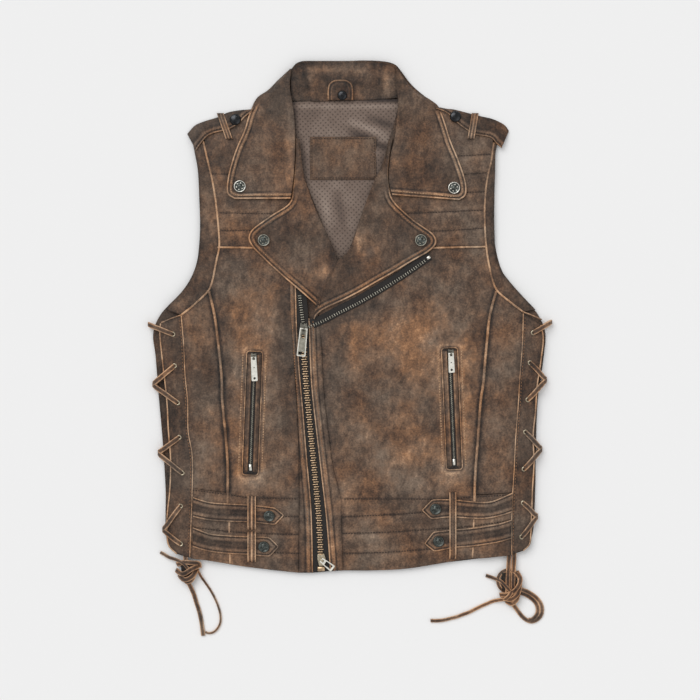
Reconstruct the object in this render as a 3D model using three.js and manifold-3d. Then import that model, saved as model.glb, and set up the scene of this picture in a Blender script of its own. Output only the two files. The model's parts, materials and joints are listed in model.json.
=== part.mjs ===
// A men's biker vest in distressed leather, laid flat on its back.
// Millimetres, +Z up. +X is the viewer's right and +Y points from hem to collar.
// The tables give x and y from a drafting point on the hem, a little right of
// the zip; the group at the end moves the whole vest so that its box is centred.
import * as THREE from 'three';
import { mergeVertices } from 'three/addons/utils/BufferGeometryUtils.js';
import Module from 'manifold-3d';

const wasm = await Module();
wasm.setup();

// Driving sizes
const LEATHER = 1.5;            // one layer of cow leather
const DOUBLE_LEATHER = 1.9;     // turned pieces: lapels, collar, tabs
const LINING = 0.8;             // meshy lining cloth
const TAPE = 0.8;               // zip tape
const SEAM_GAP = 0.5;           // clear space where two panels meet
const LAYER_GAP = 0.3;          // clear space between stacked layers
const BACK_TOP = LEATHER;       // inner face of the back panel where it rests
const FRONT_TOP = 6.1;          // outer face of the fronts over the chest
const SIDE_RISE = 2.6;          // how much the laced sides stand above that
const SHOULDER_SINK = 2.3;      // how much the fronts sink to the shoulder seam
const LACE_WIDTH = 5.6;         // flat lacing strip
const LACE_THICK = 2.2;
const LACE_LIFT = 2.9;          // the back's sides rise to let the lacing under
const COLLAR_LIFT = 2.0;        // the back's neck rises over the collar's fall
const CAP_RADIUS = 7.8;         // press stud cap
const CAP_HEIGHT = 3.0;
const BOX_CENTRE = { x: 0, y: 332 };   // centre of the vest in drafting x, y

const COLOUR = {
  leather: 0x5a4437, lining: 0x73645f, tape: 0x1d1a18, brass: 0x6f6350,
  nickel: 0x9a9890, gunmetal: 0x3a3a3c, lace: 0x6b4a38,
};

// The open side edges of the back panel: y, then the left and right x
const SIDE_ROWS = [
  { y: 20, left: -222, right: 222 }, { y: 35, left: -238, right: 237 },
  { y: 57, left: -240, right: 238 }, { y: 108, left: -240, right: 241 },
  { y: 172, left: -244, right: 242 }, { y: 230, left: -249, right: 245 },
  { y: 280, left: -253, right: 252 }, { y: 311, left: -257, right: 255 },
  { y: 330, left: -253, right: 252 },
];

const clamp = (value, low, high) => Math.min(high, Math.max(low, value));

function smooth(from, to, value) {
  const share = clamp((value - from) / (to - from), 0, 1);
  return share * share * (3 - 2 * share);
}

function readRows(rows, column, y) {
  let index = 0;
  while (index < rows.length - 2 && rows[index + 1].y < y) index += 1;
  const low = rows[index];
  const high = rows[index + 1];
  const share = clamp((y - low.y) / (high.y - low.y), 0, 1);
  return low[column] + (high[column] - low[column]) * share;
}

// 1 at the laced side edges, falling to 0 inside the body of the vest
function nearSide(x, y, reach) {
  const edge = x < 0 ? readRows(SIDE_ROWS, 'left', y) : readRows(SIDE_ROWS, 'right', y);
  const inside = Math.abs(edge) - Math.abs(x);
  const below = 1 - smooth(330, 400, y);
  return (1 - smooth(reach * 0.55, reach, inside)) * below;
}

// Height of the shoulder line above the hem at x
const shoulderY = (x) => (x < 0 ? 626 + 0.29 * x : 625 - 0.27 * x);

function backTop(x, y) {
  const neck = smooth(555, 600, y) * (1 - smooth(112, 128, Math.abs(x + 5)));
  return BACK_TOP + LACE_LIFT * nearSide(x, y, 62) + COLLAR_LIFT * neck;
}

// The fronts ride clear of the back, and sink to it along the shoulder seam
function frontTop(x, y) {
  const shoulder = smooth(-34, -4, y - shoulderY(x));
  const sunk = FRONT_TOP + SIDE_RISE * nearSide(x, y, 75) - SHOULDER_SINK * shoulder;
  return Math.max(sunk, backTop(x, y) + LAYER_GAP + LEATHER + 0.2);
}

// Top faces of pieces that lie on the fronts, so many mm above them
const onFront = (above) => (x, y) => frontTop(x, y) + above;

function curveThrough(points) {
  const path = points.map(([x, y, z = 0]) => new THREE.Vector3(x, y, z));
  return new THREE.CatmullRomCurve3(path, false, 'centripetal');
}

const evenly = (count) => Array.from({ length: count + 1 }, (unused, step) => step / count);

// Rows of points between two edge curves, pulled in from all four edges.
// columns is a count, or a list of shares from edge A to edge B.
function between(edgeA, edgeB, rows, columns, height, pullIn = SEAM_GAP / 2) {
  const shares = Array.isArray(columns) ? columns : evenly(columns);
  const curveA = curveThrough(edgeA);
  const curveB = curveThrough(edgeB);
  const endTrim = pullIn / Math.min(curveA.getLength(), curveB.getLength());
  const grid = [];
  for (let row = 0; row <= rows; row += 1) {
    const along = endTrim + (1 - 2 * endTrim) * (row / rows);
    const a = curveA.getPointAt(along);
    const b = curveB.getPointAt(along);
    const sideTrim = Math.min(0.3, pullIn / Math.max(a.distanceTo(b), 0.001));
    grid.push(shares.map((share) => {
      const across = sideTrim + (1 - 2 * sideTrim) * share;
      const point = a.clone().lerp(b, across);
      point.z = height(point.x, point.y, along, across);
      return point;
    }));
  }
  return grid;
}

function gridNormal(grid, row, column) {
  const last = grid.length - 1;
  const end = grid[0].length - 1;
  const down = grid[Math.min(last, row + 1)][column].clone()
    .sub(grid[Math.max(0, row - 1)][column]);
  const across = grid[row][Math.min(end, column + 1)].clone()
    .sub(grid[row][Math.max(0, column - 1)]);
  return across.cross(down).normalize();
}

// A closed wall: the grid is its outer face and the inner face lies under it.
// raise(row share, column share, point) lifts outer points only.
function wall(grid, thickness, raise = null) {
  const rows = grid.length;
  const columns = grid[0].length;
  let sign = 1;
  if (gridNormal(grid, rows >> 1, columns >> 1).z < 0) sign = -1;
  const outer = [];
  const inner = [];
  for (let row = 0; row < rows; row += 1) {
    for (let column = 0; column < columns; column += 1) {
      const point = grid[row][column];
      const normal = gridNormal(grid, row, column).multiplyScalar(sign);
      const lift = raise ? raise(row / (rows - 1), column / (columns - 1), point) : 0;
      outer.push(point.clone().addScaledVector(normal, lift));
      inner.push(point.clone().addScaledVector(normal, -thickness));
    }
  }
  const faces = [];
  const at = (row, column) => row * columns + column;
  const inside = rows * columns;
  const quad = (a, b, c, d) => {
    if (sign > 0) faces.push(a, b, c, a, c, d);
    else faces.push(a, c, b, a, d, c);
  };
  for (let row = 0; row + 1 < rows; row += 1) {
    for (let column = 0; column + 1 < columns; column += 1) {
      const a = at(row, column);
      const b = at(row, column + 1);
      const c = at(row + 1, column + 1);
      const d = at(row + 1, column);
      quad(a, b, c, d);
      quad(a + inside, d + inside, c + inside, b + inside);
    }
  }
  for (let row = 0; row + 1 < rows; row += 1) {
    const first = at(row, 0);
    const next = at(row + 1, 0);
    const far = at(row, columns - 1);
    const farNext = at(row + 1, columns - 1);
    quad(first, next, next + inside, first + inside);
    quad(far, far + inside, farNext + inside, farNext);
  }
  for (let column = 0; column + 1 < columns; column += 1) {
    const low = at(0, column);
    const lowNext = at(0, column + 1);
    const high = at(rows - 1, column);
    const highNext = at(rows - 1, column + 1);
    quad(low, low + inside, lowNext + inside, lowNext);
    quad(high, highNext, highNext + inside, high + inside);
  }
  const geometry = new THREE.BufferGeometry();
  const corners = [...outer, ...inner].flatMap((point) => [point.x, point.y, point.z]);
  geometry.setAttribute('position', new THREE.Float32BufferAttribute(corners, 3));
  geometry.setIndex(faces);
  return geometry;
}

// A flat strip swept along points, its width lying across the hint direction
function strip(points, width, thickness, steps, hint = 'z', sides = 8) {
  const curve = curveThrough(points);
  const corners = [];
  const faces = [];
  for (let step = 0; step <= steps; step += 1) {
    const centre = curve.getPointAt(step / steps);
    const tangent = curve.getTangentAt(step / steps);
    let wide;
    if (hint === 'z') {
      wide = tangent.clone().cross(new THREE.Vector3(0, 0, 1)).normalize();
    } else {
      const up = new THREE.Vector3(0, 1, 0);
      wide = up.addScaledVector(tangent, -up.dot(tangent)).normalize();
    }
    const thin = tangent.clone().cross(wide).normalize();
    for (let side = 0; side < sides; side += 1) {
      const angle = (2 * Math.PI * (side + 0.5)) / sides;
      const corner = centre.clone()
        .addScaledVector(wide, (width / 2) * Math.cos(angle))
        .addScaledVector(thin, (thickness / 2) * Math.sin(angle));
      corners.push(corner.x, corner.y, corner.z);
    }
  }
  for (let step = 0; step < steps; step += 1) {
    for (let side = 0; side < sides; side += 1) {
      const a = step * sides + side;
      const b = step * sides + ((side + 1) % sides);
      faces.push(a, b, b + sides, a, b + sides, a + sides);
    }
  }
  const end = steps * sides;
  for (let side = 1; side + 1 < sides; side += 1) {
    faces.push(0, side + 1, side);
    faces.push(end, end + side, end + side + 1);
  }
  const geometry = new THREE.BufferGeometry();
  geometry.setAttribute('position', new THREE.Float32BufferAttribute(corners, 3));
  geometry.setIndex(faces);
  return geometry;
}

function toSolid(geometry) {
  const bare = geometry.clone();
  bare.deleteAttribute('normal');
  bare.deleteAttribute('uv');
  const merged = mergeVertices(bare, 0.0001);
  return new wasm.Manifold(new wasm.Mesh({
    numProp: 3,
    vertProperties: new Float32Array(merged.attributes.position.array),
    triVerts: new Uint32Array(merged.index.array),
  }));
}

function fromSolid(solid) {
  const mesh = solid.getMesh();
  const geometry = new THREE.BufferGeometry();
  geometry.setAttribute('position', new THREE.Float32BufferAttribute(mesh.vertProperties, 3));
  geometry.setIndex(Array.from(mesh.triVerts));
  return geometry;
}

const join = (...pieces) => fromSolid(pieces.map(toSolid).reduce((all, next) => all.add(next)));

const vest = new THREE.Group();

function add(name, geometry, colour, metalness = 0) {
  const material = new THREE.MeshStandardMaterial({
    color: colour, roughness: metalness ? 0.35 : 0.6, metalness,
  });
  const mesh = new THREE.Mesh(geometry, material);
  mesh.name = name;
  vest.add(mesh);
  return mesh;
}

// Seam lines, each from the hem up. Neighbouring panels share them.
const FRONT_EDGE_LEFT = [
  [-226, 24], [-236, 34], [-239, 55], [-238, 78], [-235, 107], [-234, 146], [-237, 185],
  [-239, 224], [-244, 269], [-248, 312], [-247, 323],
];
const FRONT_EDGE_RIGHT = [
  [226, 28], [234, 36], [236, 52], [237, 78], [238, 107], [240, 142], [239, 180],
  [242, 209], [244, 240], [249, 275], [252, 305], [249, 321],
];
const SIDE_SEAM_LEFT = [
  [-208, 19], [-207, 47], [-206, 70], [-205, 99], [-205, 153], [-210, 182], [-211, 224],
  [-214, 254], [-216, 296], [-219, 333],
];
const SIDE_SEAM_RIGHT = [
  [210, 23], [210, 70], [211, 99], [213, 130], [215, 172], [219, 224], [220, 244],
  [224, 299], [225, 336],
];
const PRINCESS_LEFT = [
  [-159, 103], [-159, 140], [-162, 182], [-166, 224], [-167, 254], [-171, 295],
  [-176, 333], [-183, 365],
];
const PRINCESS_RIGHT = [
  [162, 100], [163, 130], [167, 182], [170, 224], [173, 244], [177, 290], [182, 335],
  [190, 365],
];
const ARM_SEAM_LEFT = [
  [-219, 334], [-203, 347], [-184, 366], [-179, 378], [-174, 403], [-170, 422],
  [-170, 434], [-173, 469], [-178, 504], [-185, 535], [-191, 560],
];
const ARM_SEAM_RIGHT = [
  [225, 338], [206, 352.5], [191, 366], [186, 377], [180, 403], [177, 424], [176, 436],
  [175, 473], [178, 509], [183, 531], [187, 558],
];
const ARMHOLE_LEFT = [
  [-240, 341], [-218, 365], [-206, 384], [-199, 404], [-196, 428], [-195, 451],
  [-196, 484], [-198, 523], [-202, 545], [-205, 560],
];
const ARMHOLE_RIGHT = [
  [241, 341], [222, 361], [208, 377], [197, 392], [190, 408], [188.5, 426], [187.5, 455],
  [187, 491], [188.5, 519], [189.5, 547], [193, 560],
];
const BAND_TOP_LEFT = [[-205, 109], [-160, 103], [-135, 99], [-100, 98], [-66, 97]];
const BAND_TOP_RIGHT = [[211, 103], [162, 99.5], [120, 97], [70, 97], [30, 97], [-12, 97]];
const HEM_LEFT = [[-207, 18], [-177, 14], [-144, 8], [-105, 3], [-67, -1]];
const HEM_RIGHT = [[209.5, 22], [172, 18], [153, 17], [111, 10], [70, 4], [29, 2], [-9, 2]];
const YOKE_LINE_LEFT = 421;
const YOKE_LINE_RIGHT = 421;

// Panels
function backPanel() {
  const left = [
    [-214, 18], [-233, 29], [-239, 45], [-240, 108], [-244, 172], [-249, 230], [-253, 280],
    [-256, 311], [-247, 334], [-218, 366], [-203, 390], [-196, 428], [-195, 470],
    [-198, 523], [-203, 550], [-205, 565],
  ];
  const right = [
    [214, 22], [231, 31], [237, 45], [241, 108], [242, 172], [245, 230], [252, 280],
    [254, 311], [245, 334], [222, 361], [200, 388], [189, 426], [188, 470],
    [189, 519], [190, 547], [193, 565],
  ];
  const columns = [0, 0.08, 0.14, 0.3, 0.5, 0.7, 0.86, 0.92, 1];
  const body = between(left, right, 32, columns, backTop);
  const lowerEdge = (x) => 3 + 17 * (x / 214) ** 2;
  const neckTop = (x) => Math.min(shoulderY(x), 600) - 3;
  for (const line of body) {
    for (const point of line) {
      const share = clamp((60 - point.y) / 40, 0, 1);
      const hemShift = (20 - lowerEdge(point.x)) * share;
      const topShare = clamp((point.y - 500) / 65, 0, 1);
      point.y += (neckTop(point.x) - 565) * topShare - hemShift;
      point.z = backTop(point.x, point.y);
    }
  }
  return wall(body, LEATHER);
}

function backLining() {
  const left = [
    [-46, 372], [-48, 404], [-62, 456], [-80, 491], [-92, 530], [-78, 568], [-69, 588], [-68, 602],
  ];
  const right = [
    [-18, 372], [22, 404], [44, 456], [58, 491], [72, 530], [60, 568], [56, 588], [56, 602],
  ];
  const height = (x, y) => backTop(x, y) + 2 * LAYER_GAP + LINING;
  return wall(between(left, right, 9, 4, height, 0), LINING);
}

function frontLeft() {
  const outer = [...PRINCESS_LEFT, [-179, 378], [-174, 403], [-170, YOKE_LINE_LEFT]];
  const inner = [
    [-66, 97], [-67, 172], [-72, 270], [-80, 345], [-82, 367], [-72, 378], [-38, 386],
    [-22, 400], [-28, YOKE_LINE_LEFT],
  ];
  return wall(between(outer, inner, 18, 6, onFront(0), 0.5), LEATHER);
}

function frontRight() {
  const outer = [...PRINCESS_RIGHT, [186, 377], [180, 403], [177, YOKE_LINE_RIGHT]];
  const inner = [
    [-12, 97], [-16, 113], [-21, 132], [-28, 182], [-34, 237], [-37, 296], [-41, 330], [-33, 365],
    [-18, 396], [2, YOKE_LINE_RIGHT],
  ];
  return wall(between(inner, outer, 18, 7, onFront(0), 0.5), LEATHER);
}

// Raised rounds between rows of stitching; share runs across the rows
const QUILT_DEPTH = 0.5;
const quilt = (share, cells) => QUILT_DEPTH * Math.sin(Math.PI * ((share * cells) % 1));

function yokeLeft() {
  const outer = ARM_SEAM_LEFT.slice(5).map(([x, y]) => [x, Math.max(y, YOKE_LINE_LEFT)]);
  const inner = [[-26, YOKE_LINE_LEFT], [-37, 456], [-51, 491], [-60, 517], [-68, 560], [-82, 596]];
  return wall(between(outer, inner, 16, 4, onFront(0)), LEATHER, (along) => quilt(along, 4));
}

function yokeRight() {
  const outer = ARM_SEAM_RIGHT.slice(5).map(([x, y]) => [x, Math.max(y, YOKE_LINE_RIGHT)]);
  const inner = [[0, YOKE_LINE_RIGHT], [18, 473], [32, 509], [42, 532], [52, 565], [66, 600]];
  return wall(between(inner, outer, 20, 4, onFront(0)), LEATHER, (along) => quilt(along, 5));
}

const sideFrontLeft = () => wall(
  between([[-205, 109], ...SIDE_SEAM_LEFT.slice(4)], PRINCESS_LEFT, 13, 3, onFront(0), 0.7),
  LEATHER,
);
const sideFrontRight = () => wall(
  between(PRINCESS_RIGHT, [[211, 103], ...SIDE_SEAM_RIGHT.slice(3)], 13, 3, onFront(0), 0.7),
  LEATHER,
);
const eyeletStripLeft = () => wall(
  between(FRONT_EDGE_LEFT, SIDE_SEAM_LEFT, 15, 2, onFront(0)),
  LEATHER,
);
const eyeletStripRight = () => wall(
  between(SIDE_SEAM_RIGHT, FRONT_EDGE_RIGHT, 15, 2, onFront(0)),
  LEATHER,
);
const armholeBandLeft = () => wall(
  between(ARMHOLE_LEFT, ARM_SEAM_LEFT, 20, 2, onFront(-0.2)),
  LEATHER,
);
const armholeBandRight = () => wall(
  between(ARM_SEAM_RIGHT, ARMHOLE_RIGHT, 20, 2, onFront(-0.2)),
  LEATHER,
);
const HEM_ROWS = 4;
const hemBandLeft = () => wall(
  between(HEM_LEFT, BAND_TOP_LEFT, 7, 8, onFront(0)),
  LEATHER,
  (along, across) => quilt(across, HEM_ROWS),
);
const hemBandRight = () => wall(
  between(HEM_RIGHT, BAND_TOP_RIGHT, 10, 8, onFront(0), 0.45),
  LEATHER,
  (along, across) => quilt(across, HEM_ROWS),
);

// Front edges and the zip between them
const ZIP_EDGE_LEFT = [
  [-48, -1], [-50, 79], [-56, 151], [-61, 213], [-66, 270], [-69, 322], [-70, 362],
];
const ZIP_EDGE_RIGHT = [
  [-26, 1], [-31, 68], [-38, 130], [-44, 182], [-50, 237], [-52, 270], [-53, 300], [-54, 330],
];
const PLACKET_LEFT_EDGE = [[-67, -1], [-66, 97], [-67, 172], [-72, 270], [-79, 345], [-80, 362]];
const PLACKET_RIGHT_EDGE = [
  [-9, 2], [-10.5, 50], [-12, 97], [-16, 113], [-21, 132], [-28, 182], [-34, 237], [-37, 296], [-41, 328],
];

const placketLeft = () => wall(
  between(PLACKET_LEFT_EDGE, ZIP_EDGE_LEFT, 16, 2, onFront(0)), LEATHER);
const placketRight = () => wall(
  between(ZIP_EDGE_RIGHT, PLACKET_RIGHT_EDGE, 16, 2, onFront(0)), LEATHER);

function zipTapeMain() {
  const left = ZIP_EDGE_LEFT;
  const right = [...ZIP_EDGE_RIGHT.slice(0, -1), [-54, 330], [-56, 362]];
  return wall(between(left, right, 16, 1, onFront(-0.7), 0.6), TAPE);
}

// The open right half of the zip lies on the front, along the lapel's edge
const ZIP_DIAGONAL = [[-48, 324], [-25, 333], [-13, 338], [23, 359], [60, 381], [104, 410]];
const TAPE_HALF_WIDTH = 7;

function zipTapeRight() {
  const shift = (points, dx, dy) => points.map(([x, y]) => [x + dx, y + dy]);
  const low = shift(ZIP_DIAGONAL, TAPE_HALF_WIDTH * 0.5, -TAPE_HALF_WIDTH * 0.86);
  const high = shift(ZIP_DIAGONAL, -TAPE_HALF_WIDTH * 0.5, TAPE_HALF_WIDTH * 0.86);
  return wall(between(high, low, 8, 1, onFront(LAYER_GAP + TAPE), 0), TAPE);
}

// Lapels: each is the front's own edge folded back along its roll line
const TURNED_CLEAR = 1.4;       // a turned leaf lies this far above the front
const TURNED_LEVEL = TURNED_CLEAR + DOUBLE_LEATHER;
const LAPEL_ROLL = { rise: 2.2, fade: 7 };
const COLLAR_ROLL = { rise: 3.2, fade: 6 };

// Outer face of a turned leaf: highest along its roll, at across = 0
const leafHeight = (x, y, across, roll) => (
  frontTop(x, y) + TURNED_LEVEL + roll.rise * Math.exp(-across * roll.fade)
);
const lapelHeight = (x, y, along, across) => leafHeight(x, y, across, LAPEL_ROLL);

const LAPEL_ROLL_LEFT = [
  [-43, 352], [-31.5, 376], [-17, 404], [-26, 430], [-38, 456], [-52, 491], [-60, 517],
  [-64, 545], [-65, 562],
];
const LAPEL_EDGE_LEFT = [
  [-48, 352], [-60, 361], [-86, 383], [-112, 407], [-128, 424], [-132, 434], [-129, 443],
  [-103, 463], [-78, 480.5], [-74, 498], [-71.5, 526], [-70.5, 552], [-71, 564],
];
const LAPEL_ROLL_RIGHT = [
  [-38, 347], [-29, 376], [-13, 404], [-1, 419], [18, 473], [32, 509], [42, 527],
  [47, 545], [50, 562],
];
const LAPEL_EDGE_RIGHT = [
  [-34, 341], [-13, 350], [23, 372], [60, 394], [104, 419], [112, 428], [110, 437],
  [81, 459], [55, 485], [51, 500], [49.5, 518], [51.5, 540], [56, 564],
];

const lapelLeft = () => wall(
  between(LAPEL_ROLL_LEFT, LAPEL_EDGE_LEFT, 18, 5, lapelHeight, 0), DOUBLE_LEATHER);
const lapelRight = () => wall(
  between(LAPEL_ROLL_RIGHT, LAPEL_EDGE_RIGHT, 18, 5, lapelHeight, 0), DOUBLE_LEATHER);

// Collar
const COLLAR_ROLL_LEFT = [
  [-77, 484.5], [-74.5, 500], [-72, 526], [-71, 552], [-72, 587], [-75, 610], [-78, 632], [-76, 652],
];
const COLLAR_EDGE_LEFT = [
  [-150, 484.5], [-159, 491], [-159, 510], [-149, 547], [-138, 573], [-130, 599],
  [-121, 617], [-107, 627], [-93, 641], [-78, 655],
];
const COLLAR_ROLL_RIGHT = [
  [55, 489.5], [51.5, 500], [50.5, 518], [52.5, 540], [58, 564], [61, 589], [62, 615],
  [60, 632], [59, 652],
];
const COLLAR_EDGE_RIGHT = [
  [142, 483], [150, 489], [151, 503], [142, 533], [131, 560], [123, 586], [115, 606],
  [104, 615], [89, 624], [78, 635], [62, 655],
];

// Top face of a piece that has bent down over the shoulder to the floor
const OVER_EDGE_TOP = 2.6;

// The leaf lies on the front and bends down over the shoulder
function collarHeight(x, y, along, across) {
  const onChest = leafHeight(x, y, across, COLLAR_ROLL);
  const overShoulder = smooth(586, 606, y) * smooth(0.72, 1, across);
  return onChest + (OVER_EDGE_TOP - onChest) * overShoulder;
}

function collarFall() {
  const leafLeft = wall(
    between(COLLAR_ROLL_LEFT, COLLAR_EDGE_LEFT, 15, 6, collarHeight, 0), DOUBLE_LEATHER);
  const leafRight = wall(
    between(COLLAR_ROLL_RIGHT, COLLAR_EDGE_RIGHT, 15, 6, collarHeight, 0), DOUBLE_LEATHER);
  const under = [[-112, 607], [-94, 604], [-50, 601], [-5, 600], [45, 601], [86, 604], [104, 606]];
  const crest = [[-112, 622], [-94, 638], [-68, 658], [-5, 664], [50, 660], [80, 633], [104, 614]];
  const fold = (x, y, along, across) => 1.9 + 6.5 * smooth(0.72, 1, across)
    * smooth(100, 60, Math.abs(x + 5));
  const back = wall(between(under, crest, 10, 4, fold, 0), DOUBLE_LEATHER);
  return join(leafLeft, back, leafRight);
}

function collarStand() {
  const seam = [[-70.5, 606], [-42, 604], [-8, 606], [23, 608], [56, 612]];
  const top = [[-72, 648], [-58, 654.5], [-8, 659], [42, 655], [54, 648]];
  const height = (x, y, along, across) => 6.2 + 2.2 * smooth(0, 0.6, across);
  return wall(between(seam, top, 10, 3, height, 0.3), LEATHER);
}

// Small parts that lie on the panels
const tabHeight = (x, y) => frontTop(x, y) + LAYER_GAP + DOUBLE_LEATHER + 0.6;

const TABS = [
  {
    name: 'hem_tab_left_upper', cap: [-105, 73],
    top: [[-203, 98], [-150, 90], [-130, 87], [-98, 83], [-90, 78.5], [-86, 75.5]],
    low: [[-203, 72], [-150, 67], [-130, 65], [-98, 61], [-90, 66.5], [-86, 72.5]],
  },
  {
    name: 'hem_tab_left_lower', cap: [-112, 33],
    top: [[-204, 58], [-150, 50], [-130, 48], [-107, 46], [-97, 40], [-93, 35.5]],
    low: [[-204, 35], [-150, 27], [-130, 24], [-107, 21], [-97, 27], [-93, 31.5]],
  },
  {
    name: 'hem_tab_right_upper', cap: [111, 82],
    top: [[211, 103], [163, 96], [133, 95], [109, 94], [99, 87], [94, 82.5]],
    low: [[211, 77], [163, 70], [133, 69], [105, 69], [98, 74], [94, 78.5]],
  },
  {
    name: 'hem_tab_right_lower', cap: [115, 40],
    top: [[211, 68], [163, 56], [133, 53.5], [107, 52.5], [101, 44], [97.5, 39]],
    low: [[211, 43], [163, 33], [133, 30.5], [110, 27], [102, 31], [97.5, 35]],
  },
];

function cap(x, y, base) {
  const profile = [
    [0, 0], [CAP_RADIUS, 0], [CAP_RADIUS, 1.5], [CAP_RADIUS - 2.2, CAP_HEIGHT], [0, CAP_HEIGHT],
  ].map(([radius, height]) => new THREE.Vector2(radius, height));
  const turned = new THREE.LatheGeometry(profile, 14);
  turned.rotateX(Math.PI / 2);
  turned.translate(x, y, base);
  return turned;
}

function tab({ top, low, cap: [x, y] }) {
  const strap = wall(between(low, top, 9, 2, tabHeight, 0), DOUBLE_LEATHER);
  return join(strap, cap(x, y, tabHeight(x, y) - 0.4));
}

// A loop of leather over the tabs, its two ends turned down to the panel
const KEEPER_LEATHER = 1.3;

function keeper(left, right, low, high) {
  const crown = (x, y, along) => {
    const ends = smooth(0, 0.12, along) * smooth(1, 0.88, along);
    const stitchedDown = frontTop(x, y) + LAYER_GAP + KEEPER_LEATHER + 0.1;
    return stitchedDown + (DOUBLE_LEATHER + KEEPER_LEATHER) * ends;
  };
  const edges = [[[left, low], [left, high]], [[right, low], [right, high]]];
  return wall(between(edges[0], edges[1], 9, 1, crown, 0), KEEPER_LEATHER);
}

const WELTS = [
  {
    name: 'pocket_welt_left',
    corners: [[-142, 127], [-118, 127], [-110, 287], [-137, 288]],
    window: [[-134, 137], [-125, 137], [-119, 286], [-131, 286]],
  },
  {
    name: 'pocket_welt_right',
    corners: [[122, 132], [149, 133], [143, 292], [116, 291]],
    window: [[132, 141], [141, 141], [137, 290], [125, 290]],
  },
];
const WELT_BASE = 0.6;          // zip tape that closes the window from below

const vectors = (points) => points.map(([x, y]) => new THREE.Vector2(x, y));

// The pocket's welted frame, with its zip tape across the window's floor
function pocketWelt({ corners, window }) {
  const outline = new THREE.Shape(vectors(corners));
  outline.holes.push(new THREE.Path(vectors(window)));
  const frame = new THREE.ExtrudeGeometry(outline, { depth: LEATHER, bevelEnabled: false });
  const tape = new THREE.ExtrudeGeometry(new THREE.Shape(vectors(corners)), {
    depth: WELT_BASE, bevelEnabled: false,
  });
  const welt = join(frame, tape);
  welt.translate(0, 0, FRONT_TOP + LAYER_GAP);
  return welt;
}

const EPAULETTE_BAND = 9;       // width of the loop round each epaulette

function epaulette(side) {
  const isLeft = side === 'left';
  const upper = isLeft
    ? [[-212, 570], [-202, 581], [-191, 586], [-172, 592], [-159, 598], [-143, 601], [-133, 600]]
    : [[207, 574], [202, 581], [187, 589], [166, 594], [151, 598], [135, 602], [128, 601]];
  const lower = isLeft
    ? [[-200, 548], [-196, 554], [-186, 566], [-176, 571], [-159, 575], [-145, 583], [-137, 594]]
    : [[197, 551], [190, 557], [184, 564], [162, 569], [148, 577], [137, 586], [130, 595]];
  const height = (x, y, along, across) => {
    const lying = frontTop(x, y) + LAYER_GAP + DOUBLE_LEATHER + 0.5;
    return lying + (OVER_EDGE_TOP - lying) * smooth(0.45, 1, across);
  };
  const strap = wall(between(lower, upper, 12, 5, height, 0), DOUBLE_LEATHER);
  const stud = isLeft ? [-149, 588] : [137, 592];
  const studBase = 4.6;
  const bandX = isLeft ? -163 : 160;
  const bandRise = 1;
  const bandHeight = (x, y, along) => {
    const lying = frontTop(x, y) + LAYER_GAP + DOUBLE_LEATHER + 0.5;
    const bent = lying + (OVER_EDGE_TOP - lying) * smooth(0.5, 1, along);
    return bent + bandRise;
  };
  const lean = isLeft ? -6 : 3;
  const half = EPAULETTE_BAND / 2;
  const band = wall(between(
    [[bandX - half - lean, 563], [bandX - half + lean, 597]],
    [[bandX + half - lean, 563], [bandX + half + lean, 597]],
    7, 1, bandHeight, 0,
  ), bandRise + 0.6);
  return join(strap, band, cap(stud[0], stud[1], studBase));
}

function hangerTab() {
  const outline = new THREE.Shape();
  outline.moveTo(-29, 613);
  outline.lineTo(-29, 628);
  outline.quadraticCurveTo(-28, 639, -18, 639);
  outline.lineTo(-7, 639);
  outline.quadraticCurveTo(3, 639, 4, 628);
  outline.lineTo(4, 613);
  outline.closePath();
  const leather = new THREE.ExtrudeGeometry(outline, {
    depth: LEATHER, bevelEnabled: false, curveSegments: 4,
  });
  leather.translate(0, 0, 9.0);
  return join(leather, cap(-10, 619, 9.9));
}

function neckPatch() {
  const left = [[-52, 510], [-52, 538], [-52, 566]];
  const right = [[34, 510], [34, 538], [34, 566]];
  const height = (x, y) => backTop(x, y) + 3 * LAYER_GAP + LINING + 1.2;
  return wall(between(left, right, 3, 3, height, 0), 1.2);
}

// Zip sliders and their pull tabs, drawn with the zip running along Y
const BRIDGE_INNER = 1.5;
const BRIDGE_OUTER = 2.7;
const HINGE_RISE = 1.4;         // pull's hinge line above the slider's top
const SLIDER_HEIGHT = 2.8;
const PULL_THICK = 1.2;

function sliderBody(width, length, height, bodyTurn) {
  const half = width / 2;
  const outline = new THREE.Shape();
  outline.moveTo(-half * 0.7, -length / 2);
  outline.lineTo(half * 0.7, -length / 2);
  outline.lineTo(half, length * 0.1);
  outline.lineTo(half * 0.8, length / 2);
  outline.lineTo(-half * 0.8, length / 2);
  outline.lineTo(-half, length * 0.1);
  outline.closePath();
  const body = new THREE.ExtrudeGeometry(outline, { depth: height, bevelEnabled: false });
  body.rotateZ(bodyTurn);
  const arch = new THREE.Shape();
  arch.moveTo(-BRIDGE_OUTER, -2);
  arch.lineTo(-BRIDGE_OUTER, 0);
  arch.absarc(0, 0, BRIDGE_OUTER, Math.PI, 0, true);
  arch.lineTo(BRIDGE_OUTER, -2);
  arch.lineTo(BRIDGE_INNER, -2);
  arch.lineTo(BRIDGE_INNER, 0);
  arch.absarc(0, 0, BRIDGE_INNER, 0, Math.PI, false);
  arch.lineTo(-BRIDGE_INNER, -2);
  arch.closePath();
  const bridge = new THREE.ExtrudeGeometry(arch, {
    depth: 1.8, bevelEnabled: false, curveSegments: 6,
  });
  bridge.translate(0, 0, -0.9);
  bridge.rotateX(Math.PI / 2);
  bridge.rotateZ(Math.PI / 2);
  bridge.translate(0, 0, height + HINGE_RISE);
  return join(body, bridge);
}

function polygon(radius, sides, x = 0, y = 0) {
  return Array.from({ length: sides }, (unused, side) => {
    const angle = (2 * Math.PI * side) / sides;
    return new THREE.Vector2(x + radius * Math.cos(angle), y + radius * Math.sin(angle));
  });
}

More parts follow.
